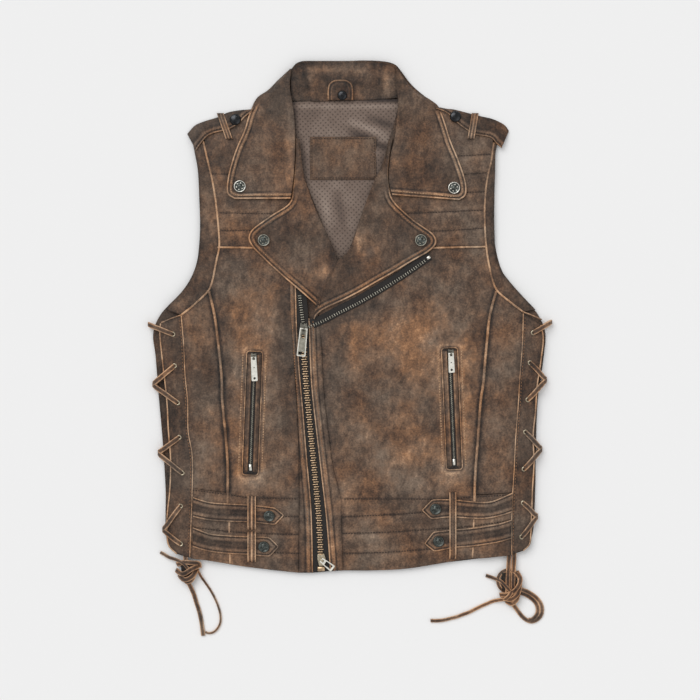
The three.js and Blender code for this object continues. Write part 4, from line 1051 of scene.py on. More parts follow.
def make_right_knot():
    right_stub = ((0.209, -0.026, 0.0105), (0.204, -0.020, 0.0102), (0.196, -0.012, 0.0062),
                  (0.186, -0.008, 0.0030), (0.177, -0.005, 0.0015))
    turn = np.linspace(0, 2 * math.pi, 61)[:-1]
    ring = np.column_stack([0.2064 + 0.0138 * np.cos(turn), -0.0118 + 0.0142 * np.sin(turn),
                            0.0060 + 0.0014 * np.cos(turn)])
    parts = [
        closed_strip(ring, 0.0052, 0.0024, (0.2064, -0.0118, 0.0)),
        band(((0.2172, 0.0000), (0.2212, -0.0090), (0.2164, -0.0205), (0.2060, -0.0285),
              (0.1955, -0.0300)), 0.0060, 0.0108),
        band(((0.2212, -0.0150), (0.2180, -0.0275), (0.2085, -0.0350), (0.1975, -0.0335)),
             0.0060, 0.0100),
        band(((0.2196, -0.0260), (0.2160, -0.0365), (0.2097, -0.0410), (0.2035, -0.0385)),
             0.0056, 0.0084),
        band(((0.2130, -0.0190), (0.2070, -0.0290), (0.2000, -0.0370)), 0.0050, 0.0116),
        core((0.2085, -0.0200), (0.2095, -0.0360), 0.0140),
        core((0.2070, -0.0010), (0.2070, -0.0240), 0.0200),
    ]
    for x, wide in ((0.2068, 0.0058), (0.2135, 0.0058)):
        tail = ((x, 0.036, 0.0059), (x, 0.022, 0.0059), (x - 0.001, 0.004, 0.0066),
                (x - 0.002, -0.014, 0.0092), (x - 0.002, -0.029, 0.0076))
        parts.append(strip_mesh(tail, wide, LACE_THICK, 28)[:3])
    parts.append(strip_mesh(right_stub, 0.0045, LACE_THICK, 24)[:3])
    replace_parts(lace_piece("knot_right", *parts), "lace_knot_right")


LOOSE_ENDS = {
    "lace_end_left": dict(
        node="lace_loop_left", far="bare", width=0.0056, stiffness="medium", knot="knot_left",
        route=(
            (-0.2106, -0.0135, 0.0064), (-0.2085, -0.0170, 0.0054), (-0.2060, -0.0230, 0.0032),
            (-0.2030, -0.0310, 0.0014), (-0.2000, -0.0410, LACE_FLOOR),
            (-0.1970, -0.0500, LACE_FLOOR), (-0.1948, -0.0590, LACE_FLOOR),
            (-0.1932, -0.0680, LACE_FLOOR), (-0.1920, -0.0770, LACE_FLOOR),
            (-0.1912, -0.0835, LACE_FLOOR),
        ),
    ),
    "lace_loop_left": dict(
        node=None, far="bare", width=0.0030, stiffness="limp",
        route=(
            (-0.1977, 0.0018, 0.0055), (-0.1940, -0.0060, 0.0038), (-0.1880, -0.0150, 0.0020),
            (-0.1820, -0.0240, LACE_FLOOR), (-0.1760, -0.0350, LACE_FLOOR),
            (-0.1715, -0.0460, LACE_FLOOR), (-0.1688, -0.0570, LACE_FLOOR),
            (-0.1692, -0.0670, LACE_FLOOR), (-0.1730, -0.0745, LACE_FLOOR),
            (-0.1790, -0.0795, LACE_FLOOR), (-0.1860, -0.0800, LACE_FLOOR),
            (-0.1885, -0.0785, LACE_FLOOR),
        ),
    ),
    "lace_loop_right": dict(
        node="lace_loop_right", far="object", width=0.0056, stiffness="medium", knot="knot_right",
        route=(
            (0.2190, -0.0215, 0.0062), (0.2235, -0.0228, 0.0054), (0.2300, -0.0255, 0.0036),
            (0.2370, -0.0296, 0.0020), (0.2435, -0.0350, LACE_FLOOR),
            (0.2480, -0.0410, LACE_FLOOR), (0.2500, -0.0480, LACE_FLOOR),
            (0.2490, -0.0560, LACE_FLOOR), (0.2440, -0.0620, LACE_FLOOR),
            (0.2370, -0.0650, LACE_FLOOR), (0.2300, -0.0630, LACE_FLOOR),
            (0.2230, -0.0570, LACE_FLOOR), (0.2170, -0.0490, 0.0020), (0.2120, -0.0420, 0.0044),
            (0.2084, -0.0365, 0.0064),
        ),
        beside=(
            (0.2195, -0.0262, 0.0058), (0.2280, -0.0296, 0.0036), (0.2355, -0.0342, LACE_FLOOR),
            (0.2415, -0.0400, LACE_FLOOR), (0.2445, -0.0470, LACE_FLOOR),
            (0.2440, -0.0545, LACE_FLOOR), (0.2410, -0.0595, LACE_FLOOR),
            (0.2370, -0.0625, LACE_FLOOR), (0.2330, -0.0630, LACE_FLOOR),
        ),
    ),
    "lace_end_right": dict(
        node="lace_end_right", far="bare", width=0.0046, stiffness="medium",
        route=(
            (0.2019, -0.0351, 0.0059), (0.1980, -0.0359, 0.0048), (0.1920, -0.0370, 0.0030),
            (0.1850, -0.0390, LACE_FLOOR), (0.1780, -0.0420, LACE_FLOOR),
            (0.1710, -0.0450, LACE_FLOOR), (0.1630, -0.0490, LACE_FLOOR),
            (0.1550, -0.0530, LACE_FLOOR), (0.1470, -0.0560, LACE_FLOOR),
            (0.1390, -0.0590, LACE_FLOOR), (0.1310, -0.0610, LACE_FLOOR),
            (0.1230, -0.0630, LACE_FLOOR), (0.1150, -0.0640, LACE_FLOOR),
            (0.1050, -0.0640, LACE_FLOOR),
        ),
    ),
}


def make_loose_ends():
    for name, row in LOOSE_ENDS.items():
        width = row["width"]
        thick = min(LACE_THICK, width * 0.7)
        *mesh, line = strip_mesh(row["route"], width, thick, 90)
        piece = lace_piece(f"{name}_strip", mesh)
        if row["node"]:
            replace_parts(piece, row["node"])
        on_cord = [bpy.data.objects[row["knot"]]] if "knot" in row else []
        if "beside" in row:
            turn = strip_mesh(row["beside"], width, thick, 50)[:3]
            on_cord.append(lace_piece(f"{name}_turn", turn))


make_left_knot()
make_right_knot()
make_loose_ends()
for lace_side in ("left", "right"):
    make_lacing(lace_side)


# Leather panels
def scuffed_and_shaded_spots(spots):
    """Extra tone round spots: x, y, half width, half height, amount; positive spots are scuffing, negative
    ones painted shade in troughs and tucks.
    """
    def extra(x, y):
        total = pocket_halo(x, y)
        for spot_x, spot_y, wide, high, amount in spots:
            far = ((x - spot_x) / wide) ** 2 + ((y - spot_y) / high) ** 2
            total = total + amount * np.exp(-far)
        return total
    return extra


# Spots on the fronts: light ones are scuffing; dark ones are painted shade in troughs beside the placket and
# seams and under the right lapel.
FRONT_LEFT_SPOTS = (
    (-0.118, 0.330, 0.030, 0.045, 0.30), (-0.126, 0.112, 0.028, 0.020, 0.28),
    (-0.104, 0.250, 0.012, 0.070, 0.20), (-0.150, 0.250, 0.010, 0.070, 0.18),
    (-0.085, 0.330, 0.010, 0.090, -0.45), (-0.078, 0.200, 0.010, 0.120, -0.18),
    (-0.163, 0.330, 0.008, 0.060, -0.20),
)
FRONT_RIGHT_SPOTS = (
    (0.080, 0.300, 0.050, 0.050, 0.28), (0.132, 0.118, 0.024, 0.016, 0.35),
    (0.070, 0.160, 0.050, 0.040, 0.24), (0.110, 0.210, 0.014, 0.080, -0.28),
    (0.000, 0.240, 0.035, 0.060, -0.12), (0.152, 0.250, 0.010, 0.080, 0.20),
    (0.150, 0.400, 0.025, 0.030, -0.22), (0.020, 0.345, 0.045, 0.020, -0.30),
)


def seam_shade(line, spots=()):
    """Painted shade beside a seam, together with scuffed and shaded spots."""
    worn_and_shaded = scuffed_and_shaded_spots(spots)

    def extra(x, y):
        distance, _ = along_line(x, y, curve(line, 60))
        shade = -0.55 * bell(distance, 0.0030, 0.0022)
        return shade - 0.18 * bell(distance, 0, 0.0090) + worn_and_shaded(x, y)
    return extra


def make_panels():
    front_inner = (
        (-0.066, 0.093), (-0.067, 0.172), (-0.072, 0.270), (-0.076, 0.345), (-0.078, 0.367),
        (-0.070, 0.378), (-0.038, 0.386), (-0.022, 0.400), (-0.028, YOKE_Y),
    )
    shell("front_left", ((-0.159, 0.098), *PRINCESS_LEFT[1:], (-0.179, 0.378), (-0.174, 0.403),
                         (-0.170, YOKE_Y)),
          front_inner, on_front(), LEATHER_SKIN,
          extra_wear_and_shading=seam_shade(PRINCESS_LEFT, FRONT_LEFT_SPOTS))
    right_inner = (
        (-0.012, 0.093), (-0.016, 0.113), (-0.021, 0.132), (-0.028, 0.182), (-0.034, 0.237),
        (-0.037, 0.296), (-0.041, 0.330), (-0.033, 0.365), (-0.018, 0.396), (0.002, YOKE_Y),
    )
    shell("front_right", right_inner,
          ((0.162, 0.095), *PRINCESS_RIGHT[1:], (0.186, 0.377), (0.180, 0.403), (0.177, YOKE_Y)), on_front(),
          LEATHER_SKIN, extra_wear_and_shading=seam_shade(PRINCESS_RIGHT, FRONT_RIGHT_SPOTS))
    yoke_edge = [(x, max(y, YOKE_Y)) for x, y in ARM_SEAM_LEFT[5:-1]] + [(-0.192, 0.576)]
    yoke_inner = ((-0.026, YOKE_Y), (-0.037, 0.456), (-0.051, 0.491), (-0.060, 0.517),
                  (-0.068, 0.560), (-0.082, 0.613))
    shell("yoke_left", yoke_edge, yoke_inner, on_front(0.0002), LEATHER_SKIN,
          rows_near=YOKE_ROWS_LEFT, base_wear=-0.16)
    yoke_edge = [(x, max(y, YOKE_Y)) for x, y in ARM_SEAM_RIGHT[5:-1]] + [(0.188, 0.577)]
    yoke_inner = ((0.0, YOKE_Y), (0.018, 0.473), (0.032, 0.509), (0.042, 0.532), (0.052, 0.565),
                  (0.066, 0.617))
    shell("yoke_right", yoke_inner, yoke_edge, on_front(0.0002), DARK_SKIN,
          rows_near=YOKE_ROWS_RIGHT, base_wear=0.12)
    shell("side_front_left", ((-0.205, 0.109), *SIDE_SEAM_LEFT[4:]), PRINCESS_LEFT, on_front(),
          DARK_SKIN, base_wear=0.18, extra_wear_and_shading=seam_shade(PRINCESS_LEFT))
    shell("side_front_right", PRINCESS_RIGHT, ((0.211, 0.103), *SIDE_SEAM_RIGHT[3:]),
          on_front(), DARK_SKIN, base_wear=0.12, extra_wear_and_shading=seam_shade(PRINCESS_RIGHT))
    shell("eyelet_strip_left", FRONT_EDGE_LEFT, SIDE_SEAM_LEFT, on_front(), DARK_SKIN,
          base_wear=-0.10)
    shell("eyelet_strip_right", SIDE_SEAM_RIGHT, FRONT_EDGE_RIGHT, on_front(), DARK_SKIN,
          base_wear=-0.10)
    shell("armhole_band_left", ARMHOLE_LEFT, ARM_SEAM_LEFT, on_front(-0.0002), DARK_SKIN,
          base_wear=0.0)
    shell("armhole_band_right", ARM_SEAM_RIGHT, ARMHOLE_RIGHT, on_front(-0.0002), DARK_SKIN,
          base_wear=-0.05)
    def hem_edge(line):
        def extra(x, y):
            distance, _ = along_line(x, y, curve(line, 60))
            patchy = 0.55 + 0.45 * MIDDLE(x * 1.5, y)
            return 0.75 * patchy * bell(distance, 0, 0.0016)
        return extra

    shell("hem_band_left", HEM_LEFT, BAND_TOP_LEFT, on_front(0.0002), LEATHER_SKIN,
          rows_near=HEM_ROWS_LEFT, extra_wear_and_shading=hem_edge(HEM_LEFT))
    shell("hem_band_right", HEM_RIGHT, BAND_TOP_RIGHT, on_front(0.0002), LEATHER_SKIN,
          rows_near=HEM_ROWS_RIGHT, base_wear=-0.03, extra_wear_and_shading=hem_edge(HEM_RIGHT))
    shell("placket_left", (*PLACKET_LEFT_EDGE, (-0.081, 0.385)), (*ZIP_EDGE_LEFT, (-0.0705, 0.376)),
          on_front(0.0003), LEATHER_SKIN, base_wear=-0.05, turned="b", style="placket")
    shell("placket_right", ZIP_EDGE_RIGHT, PLACKET_RIGHT_EDGE, on_front(0.0003), LEATHER_SKIN,
          base_wear=0.10, turned="a", style="placket")


def level_tape(above):
    return lambda x, y, along, across: front_top(x, y) + above + soft_relief(x, y)


def make_tapes():
    left = (*ZIP_EDGE_LEFT, (-0.0705, 0.376))
    right = (*ZIP_EDGE_RIGHT[:-1], (-0.054, 0.330), (-0.0575, 0.372))
    shell("zip_tape_main", left, right, level_tape(-0.0007), TAPE_CLOTH, thick=TAPE)
    half = 0.007
    low = [(x + half * 0.40, y - half * 0.70) for x, y in ZIP_DIAGONAL]
    high = [(x - half * 0.5, y + half * 0.86) for x, y in ZIP_DIAGONAL]
    shell("zip_tape_right", high, low, level_tape(LAYER_GAP + TAPE), TAPE_CLOTH, thick=TAPE)


# Lapels and collar
TURNED_LEVEL = 0.0014 + TURNED_LEATHER


def leaf_height(rise, fade):
    def height(x, y, along, across):
        roll = rise * np.exp(-across * fade)
        return front_top(x, y) + TURNED_LEVEL + roll + 1.3 * soft_relief(x, y)
    return height


def collar_height(x, y, along, across):
    on_chest = leaf_height(0.0032, 6)(x, y, along, across)
    over_shoulder = smooth(0.586, 0.606, y) * smooth(0.72, 1, across)
    return on_chest + (0.0026 - on_chest) * over_shoulder


def make_leaves():
    def thin_line(edge, low, high):
        def extra(x, y):
            distance, _ = along_line(x, y, curve(edge, 80))
            reach = smooth(low - 0.006, low + 0.004, y) * (1 - smooth(high - 0.012, high, y))
            return 0.95 * reach * bell(distance, 0, 0.0011)
        return extra

    def both(first, second):
        return lambda x, y: first(x, y) + second(x, y)

    # Scuffs on the lapels; their dark spots are painted shade along the roll and folds.
    rub_and_shade_left = scuffed_and_shaded_spots((
        (-0.033, 0.391, 0.007, 0.009, 0.75), (-0.030, 0.386, 0.022, 0.010, 0.25),
        (-0.070, 0.400, 0.022, 0.030, 0.30), (-0.040, 0.420, 0.012, 0.030, -0.10),
        (-0.045, 0.470, 0.020, 0.030, 0.20), (-0.020, 0.400, 0.010, 0.030, -0.25),
    ))
    rub_and_shade_right = scuffed_and_shaded_spots((
        (0.020, 0.430, 0.022, 0.014, 0.30), (0.030, 0.470, 0.030, 0.010, 0.25),
        (0.060, 0.440, 0.020, 0.020, -0.20), (-0.005, 0.400, 0.012, 0.040, -0.15),
        (0.040, 0.500, 0.010, 0.030, 0.35), (0.008, 0.4450, 0.0030, 0.0090, 0.55),
        (0.013, 0.4330, 0.0050, 0.0030, 0.50), (0.011, 0.4210, 0.0028, 0.0080, 0.45),
        (0.020, 0.4120, 0.0070, 0.0028, 0.45),
    ))
    rub_and_shade_left = both(rub_and_shade_left, thin_line(LAPEL_EDGE_LEFT, 0.487, 0.536))
    rub_and_shade_right = both(rub_and_shade_right, thin_line(LAPEL_EDGE_RIGHT, 0.492, 0.545))
    shell("lapel_left", LAPEL_ROLL_LEFT, LAPEL_EDGE_LEFT, leaf_height(0.0022, 7), DARK_SKIN,
          thick=TURNED_LEATHER, turned="b", painted_seam_shade=0.15, base_wear=-0.08,
          extra_wear_and_shading=rub_and_shade_left, style="lapel", turned_below=0.487)
    shell("lapel_right", LAPEL_ROLL_RIGHT, LAPEL_EDGE_RIGHT, leaf_height(0.0022, 7), DARK_SKIN,
          thick=TURNED_LEATHER, turned="b", painted_seam_shade=0.15, base_wear=-0.04,
          extra_wear_and_shading=rub_and_shade_right, style="lapel", turned_below=0.492)
    roll_left = scuffed_and_shaded_spots((
        (-0.078, 0.560, 0.006, 0.060, 0.35), (-0.110, 0.540, 0.030, 0.040, 0.10),
    ))
    roll_right = scuffed_and_shaded_spots((
        (0.058, 0.560, 0.006, 0.060, 0.45), (0.090, 0.560, 0.030, 0.040, 0.05),
    ))
    shell("collar_leaf_left", COLLAR_ROLL_LEFT, COLLAR_EDGE_LEFT, collar_height, DARK_SKIN,
          thick=TURNED_LEATHER, turned="b start", painted_seam_shade=0.15, base_wear=-0.08,
          node="collar_fall", extra_wear_and_shading=roll_left, turned_below=0.604)
    shell("collar_leaf_right", COLLAR_ROLL_RIGHT, COLLAR_EDGE_RIGHT, collar_height, DARK_SKIN,
          thick=TURNED_LEATHER, turned="b start", painted_seam_shade=0.15, base_wear=-0.08,
          node="collar_fall", extra_wear_and_shading=roll_right, turned_below=0.598)
    under = ((-0.112, 0.607), (-0.094, 0.604), (-0.050, 0.601), (-0.005, 0.600), (0.045, 0.601),
             (0.086, 0.604), (0.104, 0.606))
    crest = ((-0.1120, 0.6220), (-0.0940, 0.6380), (-0.0755, 0.6549), (-0.0700, 0.6608),
             (-0.0630, 0.6636), (-0.0400, 0.6642), (-0.0050, 0.6642), (0.0210, 0.6648),
             (0.0394, 0.6640), (0.0522, 0.6620), (0.0600, 0.6585), (0.0665, 0.6510),
             (0.0800, 0.6340), (0.1040, 0.6140))

    def back_fold(x, y, along, across):
        middle = smooth(0.100, 0.060, np.abs(x + 0.005))
        return 0.0019 + 0.0065 * smooth(0.72, 1, across) * middle

    shell("collar_back", under, crest, back_fold, DARK_SKIN, thick=TURNED_LEATHER,
          node="collar_fall")


def stand_height(x, y, along, across):
    tucks = (
        -0.0011 * np.exp(-(((x + 0.058 + (y - 0.63) * 0.25) / 0.0040) ** 2))
        + 0.0011 * np.exp(-(((x + 0.050 + (y - 0.63) * 0.30) / 0.0045) ** 2))
        + 0.0012 * np.exp(-(((x - 0.048 + (y - 0.63) * 0.25) / 0.0035) ** 2))
        - 0.0007 * np.exp(-(((x - 0.039 + (y - 0.63) * 0.25) / 0.0040) ** 2))
    )
    return 0.0062 + 0.0022 * smooth(0, 0.6, across) + tucks + 0.0003 * MIDDLE(x, y)


def make_neck():
    seam = ((-0.0770, 0.6125), (-0.042, 0.6115), (-0.008, 0.6125), (0.023, 0.6135), (0.0625, 0.616))
    top = ((-0.0775, 0.6500), (-0.0670, 0.6590), (-0.0580, 0.6612), (-0.0080, 0.6615),
           (0.0420, 0.6610), (0.0540, 0.6580), (0.0620, 0.6500))
    # The stand's spots: dark ones are painted shade in the troughs of its tucks, light ones scuffing on
    # their ridges and along its top.
    shell("collar_stand", seam, top, stand_height, LEATHER_SKIN,
          base_wear=-0.22, extra_wear_and_shading=scuffed_and_shaded_spots((
              (-0.0600, 0.649, 0.0030, 0.008, -0.45), (-0.0560, 0.633, 0.0030, 0.009, -0.40),
              (-0.0500, 0.640, 0.0060, 0.014, 0.45), (0.0480, 0.632, 0.0040, 0.020, 0.75),
              (0.0390, 0.634, 0.0050, 0.020, -0.35), (-0.0300, 0.652, 0.0250, 0.0045, 0.60),
              (0.0150, 0.650, 0.0220, 0.0050, 0.40),
          )))
    left = ((-0.046, 0.372), (-0.048, 0.404), (-0.062, 0.456), (-0.080, 0.491), (-0.092, 0.530),
            (-0.084, 0.568), (-0.079, 0.588), (-0.077, 0.6115))
    right = ((-0.018, 0.372), (0.022, 0.404), (0.044, 0.456), (0.058, 0.491), (0.072, 0.530),
             (0.070, 0.568), (0.067, 0.588), (0.065, 0.615))

    def lining_height(x, y, along, across):
        folds = 0.0
        for x0, y0, x1, y1, wide, rise in (
            (-0.020, 0.588, 0.060, 0.560, 0.006, 0.0016), (0.000, 0.575, 0.062, 0.543, 0.006, -0.0008),
            (0.010, 0.560, 0.058, 0.530, 0.006, 0.0014), (-0.060, 0.560, -0.054, 0.500, 0.005, 0.0010),
            (0.030, 0.500, 0.010, 0.440, 0.007, 0.0010), (-0.030, 0.500, -0.020, 0.420, 0.008, 0.0008),
        ):
            distance, share = along_line(x, y, ((x0, y0), (x1, y1)))
            folds = folds + rise * np.sin(math.pi * share) ** 0.6 * bell(distance, 0, wide)
        return back_top(x, y) + 2 * LAYER_GAP + LINING + 0.0004 + np.maximum(folds, -0.0004)

    # Painted light and shade on the lining: a painted highlight along its puffed top, painted shadow under
    # the stand on the right and along its left edge, and dark and light bands along its folds.
    def lining_painted_shading(x, y):
        tone = 0.45 * bell(y, 0.6055, 0.0030)
        tone = tone - 1.1 * bell(y, 0.6130, 0.0030) * smooth(0.0, 0.035, x)
        tone = tone - 0.7 * np.exp(-(((x + 0.0730) / 0.0050) ** 2)) * (y > 0.52)
        for x0, y0, x1, y1, wide, amount in (
            (-0.005, 0.575, 0.062, 0.545, 0.0060, -1.2), (0.020, 0.592, 0.062, 0.578, 0.0050, -0.8),
            (-0.004, 0.588, 0.050, 0.566, 0.0045, 0.6), (0.034, 0.562, 0.062, 0.560, 0.0040, 0.6),
            (0.040, 0.545, 0.060, 0.510, 0.0060, -0.5), (-0.064, 0.570, -0.056, 0.500, 0.0040, -0.5),
            (-0.020, 0.500, -0.006, 0.440, 0.0060, -0.5), (-0.036, 0.500, -0.024, 0.430, 0.0060, 0.4),
        ):
            distance, share = along_line(x, y, ((x0, y0), (x1, y1)))
            ends = np.sin(math.pi * np.clip(share, 0.0, 1.0)) ** 0.6
            tone = tone + amount * bell(distance, 0, wide) * ends
        return tone

    shell("back_lining", left, right, lining_height, LINING_CLOTH, thick=LINING,
          painted_seam_shade=0.2, extra_wear_and_shading=lining_painted_shading)
    patch_left = ((-0.052, 0.510), (-0.052, 0.538), (-0.052, 0.566))
    patch_right = ((0.034, 0.510), (0.034, 0.538), (0.034, 0.566))

    def patch_height(x, y, along, across):
        return back_top(x, y) + 3 * LAYER_GAP + LINING + 0.0014 + 0.0003 * MIDDLE(x, y)

    shell("neck_patch", patch_left, patch_right, patch_height, DARK_SKIN, thick=0.0012,
          base_wear=0.15, painted_seam_shade=0.25)


def make_back():
    left = ((-0.214, 0.018), (-0.233, 0.029), (-0.239, 0.045), (-0.240, 0.108), (-0.244, 0.172),
            (-0.249, 0.230), (-0.253, 0.280), (-0.256, 0.311), (-0.247, 0.334), (-0.218, 0.366),
            (-0.203, 0.390), (-0.196, 0.428), (-0.195, 0.470), (-0.198, 0.523), (-0.203, 0.550),
            (-0.205, 0.565))
    right = ((0.214, 0.022), (0.231, 0.031), (0.237, 0.045), (0.241, 0.108), (0.242, 0.172),
             (0.245, 0.230), (0.252, 0.280), (0.254, 0.311), (0.245, 0.334), (0.222, 0.361),
             (0.200, 0.388), (0.189, 0.426), (0.188, 0.470), (0.189, 0.519), (0.190, 0.547),
             (0.193, 0.565))
    rows, columns = 190, 140
    line_a, line_b = curve(left, rows), curve(right, rows)
    share = np.linspace(0, 1, columns + 1)[None, :]
    x = line_a[:, :1] + (line_b[:, :1] - line_a[:, :1]) * share
    y = line_a[:, 1:2] + (line_b[:, 1:2] - line_a[:, 1:2]) * share
    hem_share = np.clip((0.060 - y) / 0.040, 0, 1)
    top_share = np.clip((y - 0.500) / 0.065, 0, 1)
    lower_edge = 0.0048 + 0.017 * (x / 0.214) ** 2
    neck_top = np.minimum(shoulder_y(x), 0.600) - 0.003
    y = y + (neck_top - 0.565) * top_share - (0.020 - lower_edge) * hem_share
    z = back_top(x, y)
    grooves = np.zeros(x.shape)
    for line in BACK_SEAMS:
        distance, _ = along_line(x, y, curve(line, 24))
        grooves = grooves + bell(distance, 0, 0.0022)
    edge = np.minimum(share, 1 - share) * 0.45
    roll = 0.0007
    drop = roll - np.sqrt(np.maximum(roll ** 2 - (roll - np.minimum(edge, roll)) ** 2, 0))
    under = z - LEATHER + drop + 0.0005 * np.minimum(grooves, 1)
    top = np.column_stack([x.ravel(), y.ravel(), (z - drop).ravel()])
    low = np.column_stack([x.ravel(), y.ravel(), under.ravel()])
    # Painted shade along the back's seams, over their grooves.
    wear_and_shading = 0.1 * MIDDLE(x, y) - 0.5 * np.minimum(grooves, 1)
    piece = new_piece("back_panel_shell", np.vstack([top, low]),
                      shell_faces(x, y), DEEP_SKIN,
                      wear_and_shading=np.concatenate([wear_and_shading.ravel() - 0.1, wear_and_shading.ravel() + 0.25]))
    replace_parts(piece, "back_panel")


# Seams of the back, pressed into its underside
BACK_SEAMS = (
    ((-0.180, 0.455), (-0.090, 0.449), (0.0, 0.447), (0.090, 0.449), (0.176, 0.455)),
    ((-0.120, 0.018), (-0.126, 0.150), (-0.122, 0.300), (-0.128, 0.449)),
    ((0.120, 0.018), (0.126, 0.150), (0.122, 0.300), (0.128, 0.449)),
    ((-0.225, 0.105), (-0.110, 0.095), (0.0, 0.092), (0.110, 0.095), (0.225, 0.105)),
)

# Pocket welts: two folded lips with the zip between them
POCKETS = {
    "left": {"top": (-0.1237, 0.2870), "bottom": (-0.1298, 0.1260), "stop": (-0.1294, 0.1360)},
    "right": {"top": (0.1293, 0.2915), "bottom": (0.1358, 0.1330), "stop": (0.1351, 0.1430)},
}
POCKET_HALF_WIDTH = 0.0105
LIP_WIDTH = 0.0064


def pocket_line(side, across, trim=0.0):
    """A line down a pocket, so far to the right of its middle."""
    top, bottom = np.array(POCKETS[side]["top"]), np.array(POCKETS[side]["bottom"])
    step = (bottom - top) / np.linalg.norm(bottom - top)
    beside = np.array([-step[1], step[0]]) * across
    ends = [top + step * trim + beside, (top + bottom) / 2 + beside, bottom - step * trim + beside]
    return tuple(tuple(end) for end in ends)


def pocket_edge_distance(x, y):
    """Distance outside the nearer pocket's rounded frame, negative inside it."""
    nearest = np.full(np.shape(x), 1.0)
    for pocket in POCKETS.values():
        middle = (np.array(pocket["top"]) + np.array(pocket["bottom"])) / 2
        step = np.array(pocket["bottom"]) - np.array(pocket["top"])
        reach = np.linalg.norm(step) / 2
        step = step / np.linalg.norm(step)
        along = np.abs((x - middle[0]) * step[0] + (y - middle[1]) * step[1])
        across = np.abs(-(x - middle[0]) * step[1] + (y - middle[1]) * step[0])
        corner = 0.004
        over_x = np.maximum(across - POCKET_HALF_WIDTH + corner, 0)
        over_y = np.maximum(along - reach + corner, 0)
        inside = np.minimum(np.maximum(across - POCKET_HALF_WIDTH, along - reach), 0)
        outside = np.hypot(over_x, over_y) - corner
        nearest = np.minimum(nearest, np.where(outside > 0, outside, np.minimum(inside, outside)))
    return nearest


def pocket_halo(x, y):
    """Round the pockets: painted shade in the frame's groove and inside the frame, tan scuffing along the
    stitches and round the frame.
    """
    distance = pocket_edge_distance(x, y)
    groove = -0.8 * bell(distance, 0, 0.0011) - 0.8 * (distance < 0)
    ridge = 0.30 * bell(distance, 0.0046, 0.0018)
    halo = 0.20 * bell(distance, 0, 0.014) * (distance > 0.001)
    below = 0.25 * bell(distance, 0.006, 0.004) * (y < 0.140)
    return groove + ridge + halo + below


def make_pocket(side):
    for label, inner, outer in (("inner", 0.0030, 0.0030 + LIP_WIDTH),
                                ("outer", -0.0030 - LIP_WIDTH, -0.0030)):
        def lip_height(x, y, along, across, label=label):
            share = across if label == "inner" else 1 - across
            crest = bell(share, 0.22, 0.26) + 0.25 * np.sin(
                math.pi * np.clip(share, 0.02, 0.98)) ** 0.6
            ends = smooth(0, 0.02, along) * smooth(1, 0.98, along)
            return front_top(x, y) + soft_relief(x, y) + 0.0006 + 0.0015 * crest * ends

        fold = curve(pocket_line(side, inner + (0.0014 if label == "inner" else LIP_WIDTH - 0.0014)),
                     20)

        def lip_wear(x, y, fold=fold):
            distance, _ = along_line(x, y, fold)
            return 0.70 * bell(distance, 0, 0.0011) + 0.25 * SMALL(x * 0.2, y) + 0.12

        shell(f"pocket_lip_{side}_{label}", pocket_line(side, inner, 0.004),
              pocket_line(side, outer, 0.004), lip_height, DARK_SKIN, node=f"pocket_welt_{side}",
              painted_seam_shade=0.45, extra_wear_and_shading=lip_wear,
              under=lambda x, y: front_top(x, y) + LAYER_GAP + soft_relief(x, y) - 0.0001)
    shell(f"pocket_tape_{side}", pocket_line(side, -0.0045, 0.003), pocket_line(side, 0.0045, 0.003),
          on_front(0.0008), TAPE_CLOTH, thick=0.0005, node=f"pocket_welt_{side}")
    top, bottom = np.array(POCKETS[side]["top"]), np.array(POCKETS[side]["bottom"])
    middle = (top + bottom) / 2
    down = (bottom - top) / np.linalg.norm(bottom - top)
    beside = np.array([-down[1], down[0]])
    reach = np.linalg.norm(bottom - top) / 2
    half, corner = POCKET_HALF_WIDTH, 0.0035
    rim = []
    for sign_x, sign_y in ((1, 1), (1, -1), (-1, -1), (-1, 1)):
        start = {(1, 1): 0, (1, -1): 3, (-1, -1): 2, (-1, 1): 1}[sign_x, sign_y]
        angles = start * math.pi / 2 + np.linspace(0, math.pi / 2, 5)
        angles = angles if (sign_x, sign_y) in ((1, 1), (1, -1), (-1, -1), (-1, 1)) else angles
        for angle in angles[::-1]:
            u = sign_x * (half - corner) + corner * math.cos(angle)
            v = sign_y * (reach - corner) + corner * math.sin(angle)
            rim.append(middle + beside * u + down * v)
    rim = np.array(rim + rim[:1])
    steps = np.concatenate([[0], np.cumsum(np.linalg.norm(np.diff(rim, axis=0), axis=1))])
    wanted = np.linspace(0, steps[-1], 161)[:-1]
    x, y = (np.interp(wanted, steps, rim[:, k]) for k in range(2))
    line = np.column_stack([x, y, front_top(x, y) + soft_relief(x, y) + 0.0004])
    centre = (middle[0], middle[1], -0.05)
    verts, faces, worn_and_shaded = closed_strip(line, 0.0015, 0.0012, centre, 8)
    piece = new_piece(f"pocket_rim_{side}", verts, faces, DARK_SKIN,
                      wear_and_shading=0.85 + 0.4 * SMALL(verts[:, 0], verts[:, 1]))
    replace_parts(piece, f"pocket_welt_{side}")


